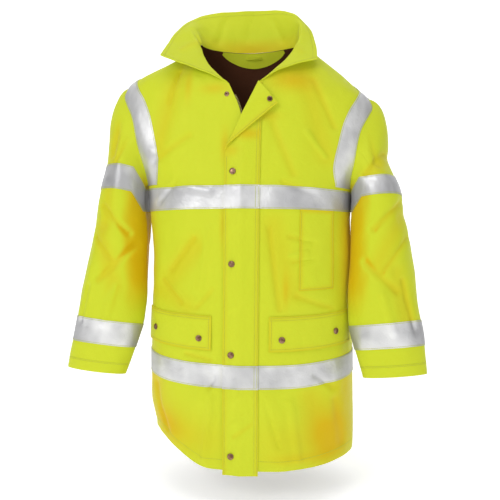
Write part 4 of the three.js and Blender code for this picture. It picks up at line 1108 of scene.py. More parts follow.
class StormFlap:
    """The flap over the zip, with its top corner turned back."""

    SEWN_X = 40.0
    FREE_X = -36.0
    BOTTOM_Z = -955.0
    TOP_Z = -110.0
    FOLD_LOW_Z = -268.0
    FOLD_TOP_X = 37.0
    ROLL = 2.2
    LIFT = 2.0
    ZIP_LIFT = 3.2
    COLUMNS = (12, 10, 14)
    PACK_REACH = 50.0

    def __init__(self, form: BodyForm, cell: float = 4.5) -> None:
        """Builds the flap's grid.

        Args:
            form: The form that the fronts lie on.
            cell: Size of a cloth cell in millimetres.
        """
        self.form = form
        low = np.linspace(self.BOTTOM_Z, self.FOLD_LOW_Z, round((self.FOLD_LOW_Z - self.BOTTOM_Z) / cell) + 1)
        high = np.linspace(self.FOLD_LOW_Z, self.TOP_Z, round((self.TOP_Z - self.FOLD_LOW_Z) / 3.2) + 1)
        chest = BODY_ROWS[CHEST_ROW][0], BODY_ROWS[CHEST_ROW + 1][0]
        waist = BODY_ROWS[WAIST_ROW][0], BODY_ROWS[WAIST_ROW + 1][0]
        for level in (*chest, *waist):
            low[np.argmin(np.abs(low - level))] = level
        self.heights = np.concatenate([low, high[1:]])
        self.x = np.stack([self.columns(z) for z in self.heights])
        self.z = np.repeat(self.heights[:, None], self.x.shape[1], axis=1)
        flat = np.stack([self.x, np.zeros_like(self.x), self.z], -1)
        self.ripple = sum(crease.offset(flat) for crease in FLAP_CREASES)
        self.ripple = self.ripple * step_between(self.SEWN_X - self.x, 3, 20) * step_between(-self.z, 268, 292)
        for low_z, high_z in (chest, waist):
            on_band = step_between(self.z, low_z - 14, low_z - 2) * step_between(-self.z, -high_z - 14, -high_z - 2)
            self.ripple = self.ripple * (1 - on_band)
        self.outer = self.turned(self.lift(self.x) + WALL + self.ripple)
        self.under = self.turned(self.lift(self.x) + self.ripple)

    def over_front(self, x: Array, z: Array, height: Array | float) -> Array:
        """Points at a height over the front, with its pressed folds."""

        def at(px: Array, pz: Array) -> Array:
            p = self.form.point(Face.FRONT, self.form.angle_at(np.abs(px), pz), pz)
            p[..., 0] *= np.where(px < 0, -1, 1)
            return p

        normal = np.cross(at(x + 1, z) - at(x - 1, z), at(x, z + 1) - at(x, z - 1))
        normal = normal / np.linalg.norm(normal, axis=-1, keepdims=True)
        point = at(x, z)
        press = np.zeros(point.shape[:-1])
        for fold in PRESSED_FOLDS:
            if fold.piece in ("front_right", "front_left"):
                mine = (x < 0) == (fold.piece == "front_right")
                press += np.where(mine, fold.offset(point), 0)
        return point + normal * (press + height)[..., None]

    def lift(self, x: Array) -> Array:
        """Height of the underside: sewn down at one edge, over the zip in the middle."""
        from_sewn = ease(np.clip((self.SEWN_X - x) / 26, 0, 1))
        return LIE_GAP + 0.3 + self.LIFT * from_sewn + self.ZIP_LIFT * np.exp(-((x / 13) ** 2))

    def turned(self, height: Array) -> Array:
        """Carries the flat flap's points round the roll of its turned-back corner."""
        dx, dz = self.FOLD_TOP_X - self.FREE_X, self.TOP_Z - self.FOLD_LOW_Z
        length = math.hypot(dx, dz)
        ax, az = -dz / length, dx / length
        past = (self.x - self.FREE_X) * ax + (self.z - self.FOLD_LOW_Z) * az
        axis_height = self.lift(self.x) + WALL + self.ROLL
        middle = WALL / 2 + self.ROLL
        over = np.maximum(past, 0)
        turn = np.minimum(over / middle, math.pi)
        flat = np.maximum(over - math.pi * middle, 0)
        radius = axis_height - height
        shift = np.where(past > 0, radius * np.sin(turn) - flat - past, 0)
        level = np.where(past > 0, axis_height - radius * np.cos(turn), height)
        return self.over_front(self.x + ax * shift, self.z + az * shift, level)

    def columns(self, z: float) -> Array:
        """Places across the flap at one height, close together where the corner rolls over."""
        plain, roll, turned = self.COLUMNS
        fold_x = lerp(self.FREE_X, self.FOLD_TOP_X, (z - self.FOLD_LOW_Z) / (self.TOP_Z - self.FOLD_LOW_Z))
        even = np.linspace(self.SEWN_X, self.FREE_X, plain + roll + turned + 1)
        packed = ease(np.clip((z - self.FOLD_LOW_Z + self.PACK_REACH) / self.PACK_REACH, 0, 1))
        fold_x = max(fold_x, self.FREE_X + 1)
        width = math.pi * (self.ROLL + WALL / 2) * 1.1
        roll_end = fold_x - min(width, 0.7 * (fold_x - self.FREE_X))
        spans = ((self.SEWN_X, fold_x, plain), (fold_x, roll_end, roll), (roll_end, self.FREE_X, turned))
        pieces = [np.linspace(a, b, n + 1)[:-1] for a, b, n in spans]
        return lerp(even, np.concatenate([*pieces, [self.FREE_X]]), packed)

    def band(self, low: float, high: float) -> tuple[Array, Array]:
        """Outer and under points of a reflective band on the flap."""
        inside = (self.heights >= low - 0.1) & (self.heights <= high + 0.1)
        x, z = self.x[inside], self.z[inside]
        under = self.lift(x) + WALL + LIE_GAP
        return self.over_front(x, z, under + BAND_THICK), self.over_front(x, z, under)


class Nodes:
    """Adds shader nodes to a tree and joins them."""

    def __init__(self, tree: bpy.types.NodeTree) -> None:
        """Takes the tree and empties it."""
        self.tree = tree
        tree.nodes.clear()

    def add(self, kind: str, **settings: object) -> bpy.types.Node:
        """Adds a node.

        Args:
            kind: The node's type name.
            settings: Properties of the node, or values of its inputs by name with spaces as underscores.

        Returns:
            The node.
        """
        node = self.tree.nodes.new(kind)
        for name, value in settings.items():
            if hasattr(node, name):
                setattr(node, name, value)
            else:
                node.inputs[name.replace("_", " ")].default_value = value
        return node

    def join(self, source: bpy.types.NodeSocket, goal: bpy.types.NodeSocket) -> None:
        """Links an output to an input."""
        self.tree.links.new(source, goal)

    def math(self, operation: str, first: object, second: object) -> bpy.types.NodeSocket:
        """Adds a math node and gives its output."""
        node = self.add("ShaderNodeMath", operation=operation)
        for k, value in enumerate((first, second)):
            if isinstance(value, bpy.types.NodeSocket):
                self.join(value, node.inputs[k])
            else:
                node.inputs[k].default_value = float(value)
        return node.outputs[0]

    def mix(self, share: object, first: object, second: object, blend: str = "MIX") -> bpy.types.NodeSocket:
        """Adds a colour mix and gives its output."""
        node = self.add("ShaderNodeMix", data_type="RGBA", blend_type=blend)
        for socket, value in ((node.inputs[0], share), (node.inputs[6], first), (node.inputs[7], second)):
            if isinstance(value, bpy.types.NodeSocket):
                self.join(value, socket)
            else:
                socket.default_value = value
        return node.outputs[2]


def group_tree(name: str, inputs: dict[str, float], outputs: dict[str, str]) -> bpy.types.NodeTree:
    """A new shader node group with its sockets.

    Args:
        name: The group's name.
        inputs: Number inputs and their usual values.
        outputs: Output names and socket types.

    Returns:
        The group's empty tree.
    """
    tree = bpy.data.node_groups.new(name, "ShaderNodeTree")
    for label, value in inputs.items():
        socket = tree.interface.new_socket(label, in_out="INPUT", socket_type="NodeSocketFloat")
        socket.default_value = value
    for label, kind in outputs.items():
        tree.interface.new_socket(label, in_out="OUTPUT", socket_type=kind)
    return tree


class Effects:
    """Node groups that more than one finish uses."""

    def __init__(self) -> None:
        """Builds each group once."""
        self.weave = self.build_weave()
        self.handling = self.build_handling()

    @staticmethod
    def build_weave() -> bpy.types.NodeTree:
        """Over-and-under threads across and along the cloth."""
        inputs = {"Threads": 1400.0, "Slack": 0.35}
        tree = group_tree("plain_weave", inputs, {"Height": "NodeSocketFloat", "Tint": "NodeSocketFloat"})
        n = Nodes(tree)
        given, out = n.add("NodeGroupInput"), n.add("NodeGroupOutput")
        cloth = n.add("ShaderNodeUVMap", uv_map="cloth")
        scaled = n.add("ShaderNodeVectorMath", operation="SCALE")
        n.join(cloth.outputs[0], scaled.inputs[0])
        n.join(given.outputs["Threads"], scaled.inputs["Scale"])
        axes = n.add("ShaderNodeSeparateXYZ")
        n.join(scaled.outputs[0], axes.inputs[0])
        warp = n.math("SINE", n.math("MULTIPLY", axes.outputs[0], math.pi), 0.0)
        weft = n.math("SINE", n.math("MULTIPLY", axes.outputs[1], math.pi), 0.0)
        threads = n.math("MULTIPLY", warp, weft)
        slubs = n.add("ShaderNodeTexNoise", Scale=0.11, Detail=3.0)
        n.join(scaled.outputs[0], slubs.inputs["Vector"])
        uneven = n.math("MULTIPLY", slubs.outputs["Fac"], given.outputs["Slack"])
        n.join(n.math("ADD", n.math("MULTIPLY", threads, 0.5), uneven), out.inputs["Height"])
        n.join(slubs.outputs["Fac"], out.inputs["Tint"])
        return tree

    @staticmethod
    def build_handling() -> bpy.types.NodeTree:
        """Soft broad noise patches and a finer noise ripple, read in object space."""
        tree = group_tree("handling", {"Size": 9.0}, {"Patches": "NodeSocketFloat", "Ripple": "NodeSocketFloat"})
        n = Nodes(tree)
        given, out = n.add("NodeGroupInput"), n.add("NodeGroupOutput")
        place = n.add("ShaderNodeTexCoord")
        broad = n.add("ShaderNodeTexNoise", Detail=2.0, Roughness=0.45)
        n.join(place.outputs["Object"], broad.inputs["Vector"])
        n.join(given.outputs["Size"], broad.inputs["Scale"])
        fine = n.add("ShaderNodeTexNoise", Detail=4.0, Roughness=0.55, Distortion=0.4)
        n.join(place.outputs["Object"], fine.inputs["Vector"])
        n.join(n.math("MULTIPLY", given.outputs["Size"], 6.0), fine.inputs["Scale"])
        n.join(broad.outputs["Fac"], out.inputs["Patches"])
        n.join(fine.outputs["Fac"], out.inputs["Ripple"])
        return tree


Colour = tuple[float, float, float]


def full(colour: Colour) -> tuple[float, float, float, float]:
    """A colour with full alpha."""
    return (*colour, 1.0)


@dataclass(frozen=True)
class Finish:
    """Base of the finishes: a material with one Principled shader."""

    name: str

    def start(self) -> tuple[bpy.types.Material, Nodes, bpy.types.Node]:
        """A new material, its nodes and its shader."""
        material = bpy.data.materials.new(self.name)
        material.use_nodes = True
        n = Nodes(material.node_tree)
        shader = n.add("ShaderNodeBsdfPrincipled")
        out = n.add("ShaderNodeOutputMaterial")
        n.join(shader.outputs[0], out.inputs[0])
        return material, n, shader


@dataclass(frozen=True)
class WovenCloth(Finish):
    """Woven polyester: its lit and shaded colours, thread count and sheen."""

    lit: Colour
    # Colour of painted shade, mixed in by the shade attribute; the slub tint below also leans a little toward it.
    deep: Colour
    threads: float = 1400.0
    rough: float = 0.55
    bump: float = 0.25
    sheen: float = 0.06
    patches: float = 0.3
    # Strength of a painted glow of the cloth's own colour.
    glow: float = 0.0
    gloss: float = 0.16

    def make(self, effects: Effects) -> bpy.types.Material:
        """Builds the material."""
        material, n, shader = self.start()
        weave = n.add("ShaderNodeGroup", node_tree=effects.weave)
        weave.inputs["Threads"].default_value = self.threads
        noise_patches = n.add("ShaderNodeGroup", node_tree=effects.handling)
        tone = n.add("ShaderNodeAttribute", attribute_name="tone")
        # Painted shade: the lit colour is mixed toward the painted shade colour by the shade attribute.
        colour = n.mix(tone.outputs["Fac"], full(self.lit), full(self.deep))
        # Random patches of painted shade: the cloth mixes toward a greener, darker tint.
        greener_shade = (self.lit[0] * 0.84, self.lit[1] * 0.92, self.lit[2] * 0.4)
        spread = n.math("MULTIPLY", noise_patches.outputs["Patches"], self.patches)
        colour = n.mix(spread, colour, full(greener_shade))
        thread_tint = n.math("MULTIPLY", weave.outputs["Tint"], 0.10)
        colour = n.mix(thread_tint, colour, full(self.deep))
        n.join(colour, shader.inputs["Base Color"])
        roughness = n.math("ADD", n.math("MULTIPLY", noise_patches.outputs["Ripple"], 0.12), self.rough - 0.06)
        n.join(roughness, shader.inputs["Roughness"])
        shader.inputs["Specular IOR Level"].default_value = self.gloss
        shader.inputs["Sheen Weight"].default_value = self.sheen
        shader.inputs["Sheen Roughness"].default_value = 0.4
        # Painted glow: the cloth emits its own colour, a stand-in for fluorescence that also brightens its shade.
        if self.glow > 0:
            n.join(colour, shader.inputs["Emission Color"])
            shader.inputs["Emission Strength"].default_value = self.glow
        ripple = n.add("ShaderNodeBump", Strength=0.22, Distance=0.004)
        n.join(noise_patches.outputs["Ripple"], ripple.inputs["Height"])
        threads = n.add("ShaderNodeBump", Strength=self.bump, Distance=0.0004)
        n.join(weave.outputs["Height"], threads.inputs["Height"])
        n.join(ripple.outputs[0], threads.inputs["Normal"])
        n.join(threads.outputs[0], shader.inputs["Normal"])
        return material


@dataclass(frozen=True)
class BeadedTape(Finish):
    """Silver reflective tape of fine glass beads, with painted shade: darker in broad patches for its soft folds, and
    where it turns sideways.
    """

    face: Colour
    rubbed: Colour
    rough: float = 0.42

    def make(self, effects: Effects) -> bpy.types.Material:
        """Builds the material."""
        material, n, shader = self.start()
        noise_patches = n.add("ShaderNodeGroup", node_tree=effects.handling)
        noise_patches.inputs["Size"].default_value = 14.0
        weave = n.add("ShaderNodeGroup", node_tree=effects.weave)
        weave.inputs["Threads"].default_value = 2200.0
        tone = n.add("ShaderNodeAttribute", attribute_name="tone")
        # Painted shade: broad noise patches darken the tape as the shading of soft folds would, and the shade
        # attribute darkens it where it turns sideways.
        patches = n.add("ShaderNodeMapRange", From_Min=0.36, From_Max=0.7, To_Max=0.6)
        n.join(noise_patches.outputs["Patches"], patches.inputs["Value"])
        tape_fold_shade = patches.outputs[0]
        colour = n.mix(n.math("MAXIMUM", tape_fold_shade, tone.outputs["Fac"]), full(self.face), full(self.rubbed))
        beads = n.add("ShaderNodeTexNoise", Scale=2600.0, Detail=1.0)
        place = n.add("ShaderNodeTexCoord")
        n.join(place.outputs["Object"], beads.inputs["Vector"])
        # Fine darker specks: the bead grain.
        colour = n.mix(n.math("MULTIPLY", beads.outputs["Fac"], 0.16), colour, full(self.rubbed))
        n.join(colour, shader.inputs["Base Color"])
        shader.inputs["Metallic"].default_value = 0.45
        roughness = n.math("ADD", n.math("MULTIPLY", noise_patches.outputs["Ripple"], 0.2), self.rough - 0.1)
        n.join(roughness, shader.inputs["Roughness"])
        bump = n.add("ShaderNodeBump", Strength=0.4, Distance=0.003)
        n.join(noise_patches.outputs["Ripple"], bump.inputs["Height"])
        grain = n.add("ShaderNodeBump", Strength=0.12, Distance=0.0002)
        n.join(weave.outputs["Height"], grain.inputs["Height"])
        n.join(bump.outputs[0], grain.inputs["Normal"])
        n.join(grain.outputs[0], shader.inputs["Normal"])
        return material


@dataclass(frozen=True)
class AgedMetal(Finish):
    """Cast or pressed metal with darker tarnish in patches."""

    bright: Colour
    tarnish: Colour
    rough: float = 0.32

    def make(self, effects: Effects) -> bpy.types.Material:
        """Builds the material."""
        material, n, shader = self.start()
        noise_patches = n.add("ShaderNodeGroup", node_tree=effects.handling)
        noise_patches.inputs["Size"].default_value = 160.0
        patches = n.add("ShaderNodeMapRange", From_Min=0.35, From_Max=0.65)
        n.join(noise_patches.outputs["Patches"], patches.inputs["Value"])
        n.join(n.mix(patches.outputs[0], full(self.bright), full(self.tarnish)), shader.inputs["Base Color"])
        shader.inputs["Metallic"].default_value = 1.0
        roughness = n.math("ADD", n.math("MULTIPLY", noise_patches.outputs["Ripple"], 0.22), self.rough - 0.08)
        n.join(roughness, shader.inputs["Roughness"])
        bump = n.add("ShaderNodeBump", Strength=0.12, Distance=0.0004)
        n.join(noise_patches.outputs["Ripple"], bump.inputs["Height"])
        n.join(bump.outputs[0], shader.inputs["Normal"])
        return material


class Wardrobe:
    """All of the jacket's materials."""

    def __init__(self) -> None:
        """Makes each finish."""
        effects = Effects()
        # The second colour of each cloth is its painted shade colour.
        self.cloth = WovenCloth("fluorescent_cloth", (0.615, 0.695, 0.03), (0.70, 0.42, 0.0), glow=0.07).make(effects)
        self.lining = WovenCloth(
            "lining_cloth", (0.085, 0.026, 0.010), (0.040, 0.013, 0.006), threads=900.0, rough=0.7, sheen=0.0
        ).make(effects)
        self.zip_tape = WovenCloth(
            "zip_tape_cloth", (0.10, 0.075, 0.035), (0.05, 0.035, 0.02), threads=1800.0, rough=0.7, sheen=0.05
        ).make(effects)
        self.thread = WovenCloth(
            "sewing_thread", (0.56, 0.60, 0.06), (0.40, 0.36, 0.02), threads=2600.0, rough=0.5, sheen=0.05
        ).make(effects)
        self.teeth = WovenCloth(
            "moulded_teeth", (0.46, 0.40, 0.16), (0.25, 0.2, 0.08), threads=1200.0, rough=0.35, bump=0.05, sheen=0.0
        ).make(effects)
        # Bright tape colour, and a dark grey for painted shade and the bead grain.
        self.tape = BeadedTape("beaded_tape", (0.90, 0.90, 0.90), (0.28, 0.28, 0.30)).make(effects)
        self.brass = AgedMetal("antique_brass", (0.44, 0.26, 0.17), (0.17, 0.085, 0.05)).make(effects)
        # Dark brass: tarnish, and the painted shadow inside the socket's well.
        self.dark_brass = AgedMetal("tarnished_brass", (0.10, 0.055, 0.035), (0.03, 0.018, 0.012), 0.5).make(effects)


class Dressing:
    """Attaches finished pieces to the root body and hides the solids that they stand for."""

    def __init__(self, wardrobe: Wardrobe) -> None:
        """Takes the materials."""
        self.wardrobe = wardrobe

    def enter(self, piece: bpy.types.Object, nodes: Sequence[str], slot: str, sewn: Sewn | None = None) -> None:
        """Attaches a piece to the root body, hides the solids that it stands for and logs it.

        Args:
            piece: The finished piece.
            nodes: Names of the solids that it stands for.
            slot: The name of a material slot; not used.
            sewn: The sheet's cut, if the piece is cloth.
        """
        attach(piece, "root")
        if nodes:
            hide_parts(*nodes)
        if sewn is not None:
            width, length = sewn.flat
            list(sewn.rests_on)
        LOG.info("%s: %d vertices, stands for %s", piece.name, len(piece.data.vertices), ", ".join(nodes) or "nothing")


@dataclass(frozen=True)
class Place:
    """Where a small part sits: its origin in millimetres, and its own X, Y and Z directions."""

    origin: Array
    along: Array
    across: Array
    up: Array

    @staticmethod
    def on(origin: Array, up: Array, along: Array) -> "Place":
        """A place with a given up direction, turned so that its X follows a line as well as it can."""
        up = up / np.linalg.norm(up)
        across = np.cross(up, along)
        across = across / np.linalg.norm(across)
        return Place(origin, np.cross(across, up), across, up)

    def matrix(self) -> Matrix:
        """The place as a matrix in metres."""
        turned = np.eye(4)
        turned[:3, :3] = np.stack([self.along, self.across, self.up], axis=1)
        turned[:3, 3] = self.origin * MM
        return Matrix(turned.tolist())


class Bench:
    """Models a small part from a primitive, in millimetres, as by hand."""

    def __init__(self, name: str) -> None:
        """Clears the selection for a new part."""
        self.name = name
        bpy.ops.object.select_all(action="DESELECT")

    def disc(self, radius: float, height: float, sides: int) -> "Bench":
        """Starts with a round blank standing on the origin."""
        middle = (0.0, 0.0, height * MM / 2)
        bpy.ops.mesh.primitive_cylinder_add(vertices=sides, radius=radius * MM, depth=height * MM, location=middle)
        return self.take()

    def block(self, size: tuple[float, float, float], place: tuple[float, float, float] = (0.0, 0.0, 0.0)) -> "Bench":
        """Starts with a rectangular blank."""
        bpy.ops.mesh.primitive_cube_add(size=MM, location=tuple(c * MM for c in place), scale=size)
        return self.take()

    def take(self) -> "Bench":
        """Names the new blank, puts its place into its mesh and opens it for editing."""
        self.part = bpy.context.object
        self.part.name = self.name
        bpy.ops.object.transform_apply(location=True, rotation=True, scale=True)
        bpy.ops.object.mode_set(mode="EDIT")
        bpy.ops.mesh.select_mode(type="FACE")
        return self

    def pick(self, wanted: Callable[[bmesh.types.BMFace], bool]) -> "Bench":
        """Selects the faces that a test wants."""
        bpy.ops.mesh.select_all(action="DESELECT")
        mesh = bmesh.from_edit_mesh(self.part.data)
        for face in mesh.faces:
            face.select_set(wanted(face))
        bmesh.update_edit_mesh(self.part.data)
        return self

    def inset(self, width: float) -> "Bench":
        """Insets the selected faces."""
        bpy.ops.mesh.inset(thickness=width * MM, depth=0.0)
        return self

    def raise_by(self, height: float) -> "Bench":
        """Moves the selected faces up."""
        bpy.ops.transform.translate(value=(0.0, 0.0, height * MM))
        return self

    def paint(self, slot: int) -> "Bench":
        """Gives the selected faces another of the part's materials."""
        self.part.active_material_index = slot
        mesh = bmesh.from_edit_mesh(self.part.data)
        for face in mesh.faces:
            if face.select:
                face.material_index = slot
        bmesh.update_edit_mesh(self.part.data)
        return self

    def finish(self, bevel: float, materials: Sequence[bpy.types.Material], segments: int = 1) -> bpy.types.Object:
        """Breaks the part's edges and closes the edit.

        Args:
            bevel: Width of the broken edge in millimetres, or 0 for sharp edges.
            materials: The part's materials.
            segments: Faces across the broken edge.

        Returns:
            The finished model, at the origin.
        """
        bpy.ops.object.mode_set(mode="OBJECT")
        if bevel > 0:
            soft = self.part.modifiers.new("edges", "BEVEL")
            soft.width = bevel * MM
            soft.segments = segments
            soft.limit_method = "ANGLE"
            soft.angle_limit = math.radians(24)
            bpy.ops.object.modifier_apply(modifier=soft.name)
        for material in materials:
            self.part.data.materials.append(material)
        bpy.ops.object.shade_smooth_by_angle(angle=math.radians(35))
        self.part.select_set(False)
        return self.part


def copy_at(model: bpy.types.Object, name: str, place: Place) -> bpy.types.Object:
    """A copy of a model with its own mesh, put at a place."""
    mesh = model.data.copy()
    mesh.name = name
    mesh.transform(place.matrix())
    piece = bpy.data.objects.new(name, mesh)
    bpy.context.scene.collection.objects.link(piece)
    return piece


def row_of(model: bpy.types.Object, name: str, places: Sequence[Place]) -> bpy.types.Object:
    """Many copies of a small model as one piece.

    Args:
        model: The model.
        name: The piece's name.
        places: Where each copy sits.

    Returns:
        The piece.
    """
    corners = np.array([vertex.co for vertex in model.data.vertices])
    faces = [list(face.vertices) for face in model.data.polygons]
    axes = np.stack([np.stack([p.along, p.across, p.up]) for p in places])
    origins = np.stack([p.origin for p in places]) * MM
    points = (np.einsum("vk,nkc->nvc", corners, axes) + origins[:, None]).reshape(-1, 3)
    count = len(corners)
    polygons = [[k * count + v for v in face] for k in range(len(places)) for face in faces]
    mesh = bpy.data.meshes.new(name)
    mesh.from_pydata(points.tolist(), [], polygons)
    mesh.polygons.foreach_set("use_smooth", [True] * len(polygons))
    for material in model.data.materials:
        mesh.materials.append(material)
    piece = bpy.data.objects.new(name, mesh)
    bpy.context.scene.collection.objects.link(piece)
    return piece


def discard(model: bpy.types.Object) -> None:
    """Removes a model that has been copied."""
    bpy.data.objects.remove(model, do_unlink=True)


def between(grid: Array, rows: Array, columns: Array) -> Array:
    """A grid read at places between its own rows and columns.

    Args:
        grid: Values, shape (rows, columns, parts).
        rows: Row places, any shape.
        columns: Column places, the same shape.

    Returns:
        The values at the places.
    """
    i = np.clip(np.floor(rows).astype(int), 0, grid.shape[0] - 2)
    j = np.clip(np.floor(columns).astype(int), 0, grid.shape[1] - 2)
    u, v = (rows - i)[..., None], (columns - j)[..., None]
    low = lerp(grid[i, j], grid[i, j + 1], v)
    high = lerp(grid[i + 1, j], grid[i + 1, j + 1], v)
    return lerp(low, high, u)


class Edge(Enum):
    """An edge of a grid of points."""

    LOW = 0
    HIGH = 1
    LEFT = 2
    RIGHT = 3

    def first(self, grid: Array) -> Array:
        """The grid turned so that this edge is its first row."""
        if self is Edge.LOW:
            return grid
        if self is Edge.HIGH:
            return grid[::-1]
        turned = grid.swapaxes(0, 1)
        return turned if self is Edge.LEFT else turned[::-1]


FLAP_LINES = (2.6, 8.4)


@dataclass
class Sewing:
    """Lines of stitches, each a copy of one short stitch of thread."""

    pitch: float = 3.4
    length: float = 2.6
    radius: float = 0.42
    places: dict[str, list[Place]] = field(default_factory=dict)

    def along(self, group: str, face: Array, behind: Array, edge: Edge, distance: float, closed: bool = False) -> None:
        """Adds a line of stitches at a distance inside an edge.

        Args:
            group: Which piece of sewing the line belongs to.
            face: Grid of points that the stitches lie on.
            behind: The grid on the other side of the cloth.
            edge: The edge that the line follows.
            distance: Distance inside the edge, in millimetres.
            closed: Whether the grid's columns close into a ring.
        """
        is_sleeve = "sleeve" in group or "cuff" in group
        grid = edge.first(SIT.settle(face, is_sleeve))
        back = edge.first(SIT.settle(behind, is_sleeve))
        in_from_edge = np.linalg.norm(np.diff(grid, axis=0), axis=2).cumsum(0)
        row = np.array([1 + np.searchsorted(in_from_edge[:, j], distance) for j in range(grid.shape[1])])
        row = np.minimum(row, len(grid) - 1)
        every = np.arange(grid.shape[1])
        far = in_from_edge[row - 1, every]
        near = np.where(row > 1, in_from_edge[np.maximum(row - 2, 0), every], 0.0)
        share = np.clip((distance - near) / np.maximum(far - near, 1e-6), 0, 1)[:, None]
        line = lerp(grid[row - 1, every], grid[row, every], share)
        up = line - lerp(back[row - 1, every], back[row, every], share)
        if closed:
            line, up = np.concatenate([line, line[:1]]), np.concatenate([up, up[:1]])
        lengths = running(line)
        count = int((lengths[-1] - self.pitch) / self.pitch)
        at = (lengths[-1] - count * self.pitch) / 2 + self.pitch * (np.arange(count) + 0.5)
        middle = at_length(line, lengths, at)
        ahead = at_length(line, lengths, at + 1) - at_length(line, lengths, at - 1)
        lift = at_length(up, lengths, at)
        own = self.places.setdefault(group, [])
        own.extend(Place.on(middle[k], lift[k], ahead[k]) for k in range(count))

    def model(self, material: bpy.types.Material) -> bpy.types.Object:
        """One stitch: a short thread with drawn-in ends, lying along X."""
        bench = Bench("stitch").block((self.length, 2 * self.radius, self.radius), (0.0, 0.0, 0.12))
        ends = bench.pick(lambda face: abs(face.normal.x) > 0.9)
        ends.inset(0.12)
        bpy.ops.transform.resize(value=(1.12, 0.8, 0.6))
        return bench.finish(0.0, [material])

    def build(self, dressing: "Dressing") -> None:
        """Makes each group of lines as one piece."""
        model = self.model(dressing.wardrobe.thread)
        for group, places in self.places.items():
            piece = row_of(model, f"stitches_{group}", places)
            dressing.enter(piece, [], "shell_cloth")
        discard(model)


@dataclass
class Zip:
    """The zip: a tape behind each front edge, its teeth, and the slider at the closed end."""

    panels: BodyPanels
    storm: "StormFlap"
    dressing: "Dressing"
    above_hem: float = 0.1
    columns: float = 0.28
    reach: float = FRONT_EDGE - SEAM_GAP
    behind: float = WALL + 2 * LIE_GAP
    tooth_pitch: float = 3.2
    slider_z: float = -206.0

    def build(self) -> None:
        """Makes the tapes, the teeth and the slider."""
        tooth = self.tooth()
        for side in Side:
            self.half(side, tooth)
        discard(tooth)
        self.slider()

    def half(self, side: Side, tooth: bpy.types.Object) -> None:
        """One side's tape and teeth."""
        front = self.panels.fronts[side]
        rows_at = self.panels.front_rows
        first = rows_at[0] + self.above_hem * (rows_at[1] - rows_at[0])
        rows = np.linspace(first, rows_at[TOP_ROW - 1], 200)
        columns = np.linspace(0, self.columns * self.panels.front_columns[1], 4)
        r, c = np.meshgrid(rows, columns, indexing="ij")
        points, normals = between(front.points, r, c), between(front.normals, r, c)
        edge = points[:, :1] - np.array([side.value * self.reach, 0, 0])
        points = np.concatenate([edge, points], axis=1)
        normals = np.concatenate([normals[:, :1], normals], axis=1)
        outer, inner = points - normals * self.behind, points - normals * (self.behind + BAND_THICK)
        tape = shell(f"zip_tape_{side.word}", outer, inner, [self.dressing.wardrobe.zip_tape])
        self.dressing.enter(tape, [f"zip_{side.word}"], "zip_tape", Sewn((0.0135, 0.84)))
        line = SIT.settle((outer[:, 0] + inner[:, 0]) / 2)
        lengths = running(line)
        start = self.tooth_pitch / (4 if side is Side.LEFT else 4 / 3)
        at = np.arange(start + 2, lengths[-1] - 2, self.tooth_pitch)
        middle = at_length(line, lengths, at)
        ahead = at_length(line, lengths, at + 1) - at_length(line, lengths, at - 1)
        out = at_length(normals[:, 0], lengths, at)
        across = np.cross(ahead, out) * side.value
        places = [Place.on(middle[k], out[k], across[k]) for k in range(len(at))]
        teeth = row_of(tooth, f"zip_teeth_{side.word}", places)
        self.dressing.enter(teeth, [], "zip_tape")

    def tooth(self) -> bpy.types.Object:
        """One moulded tooth: a short bar with a narrower neck, lying along X."""
        bench = Bench("tooth").block((3.4, 1.4, 2.0))
        bench.pick(lambda face: face.normal.x < -0.9).inset(0.25)
        bpy.ops.transform.translate(value=(-0.3 * MM, 0.0, 0.0))
        bench.pick(lambda face: face.normal.x > 0.9).inset(0.2)
        return bench.finish(0.22, [self.dressing.wardrobe.teeth])

    def slider(self) -> None:
        """The slider: a waisted body, a bridge and a hanging tab."""
        metal = [self.dressing.wardrobe.brass]
        body = Bench("slider_body").block((8.0, 13.0, 2.6))
        body.pick(lambda face: face.normal.y < -0.9)
        bpy.ops.transform.resize(value=(0.62, 1.0, 1.0), center_override=(0.0, 0.0, 0.0))
        body.pick(lambda face: face.normal.z > 0.9).inset(1.0).raise_by(0.5)
        parts = [body.finish(0.4, metal, 2)]
        bridge = Bench("slider_bridge").block((2.2, 8.0, 1.4), (0.0, 0.5, 1.9))
        bridge.pick(lambda face: face.normal.z > 0.9).inset(0.4).raise_by(0.3)
        parts.append(bridge.finish(0.3, metal, 2))
        tab = Bench("slider_tab").block((4.6, 19.0, 0.9), (0.0, -10.0, 1.7))
        tab.pick(lambda face: face.normal.y > 0.9)
        bpy.ops.transform.resize(value=(0.6, 1.0, 1.0), center_override=(0.0, 0.0, 0.0))
        tab.pick(lambda face: face.normal.z > 0.9).inset(0.8).raise_by(-0.25)
        parts.append(tab.finish(0.2, metal, 2))
        bpy.ops.object.select_all(action="DESELECT")
        for part in parts:
            part.select_set(True)
        bpy.context.view_layer.objects.active = parts[0]
        bpy.ops.object.join()
        at = np.array([0.01]), np.array([self.slider_z])
        origin = self.storm.over_front(*at, 2.5)[0]
        up = self.storm.over_front(*at, 3.5)[0] - origin
        across = np.array([1.0, 0.0, 0.0])
        slider = copy_at(parts[0], "zip_pull", Place.on(SIT.settle(origin), up, across))
        discard(parts[0])
        self.dressing.enter(slider, ["zip_slider"], "stud_brass")


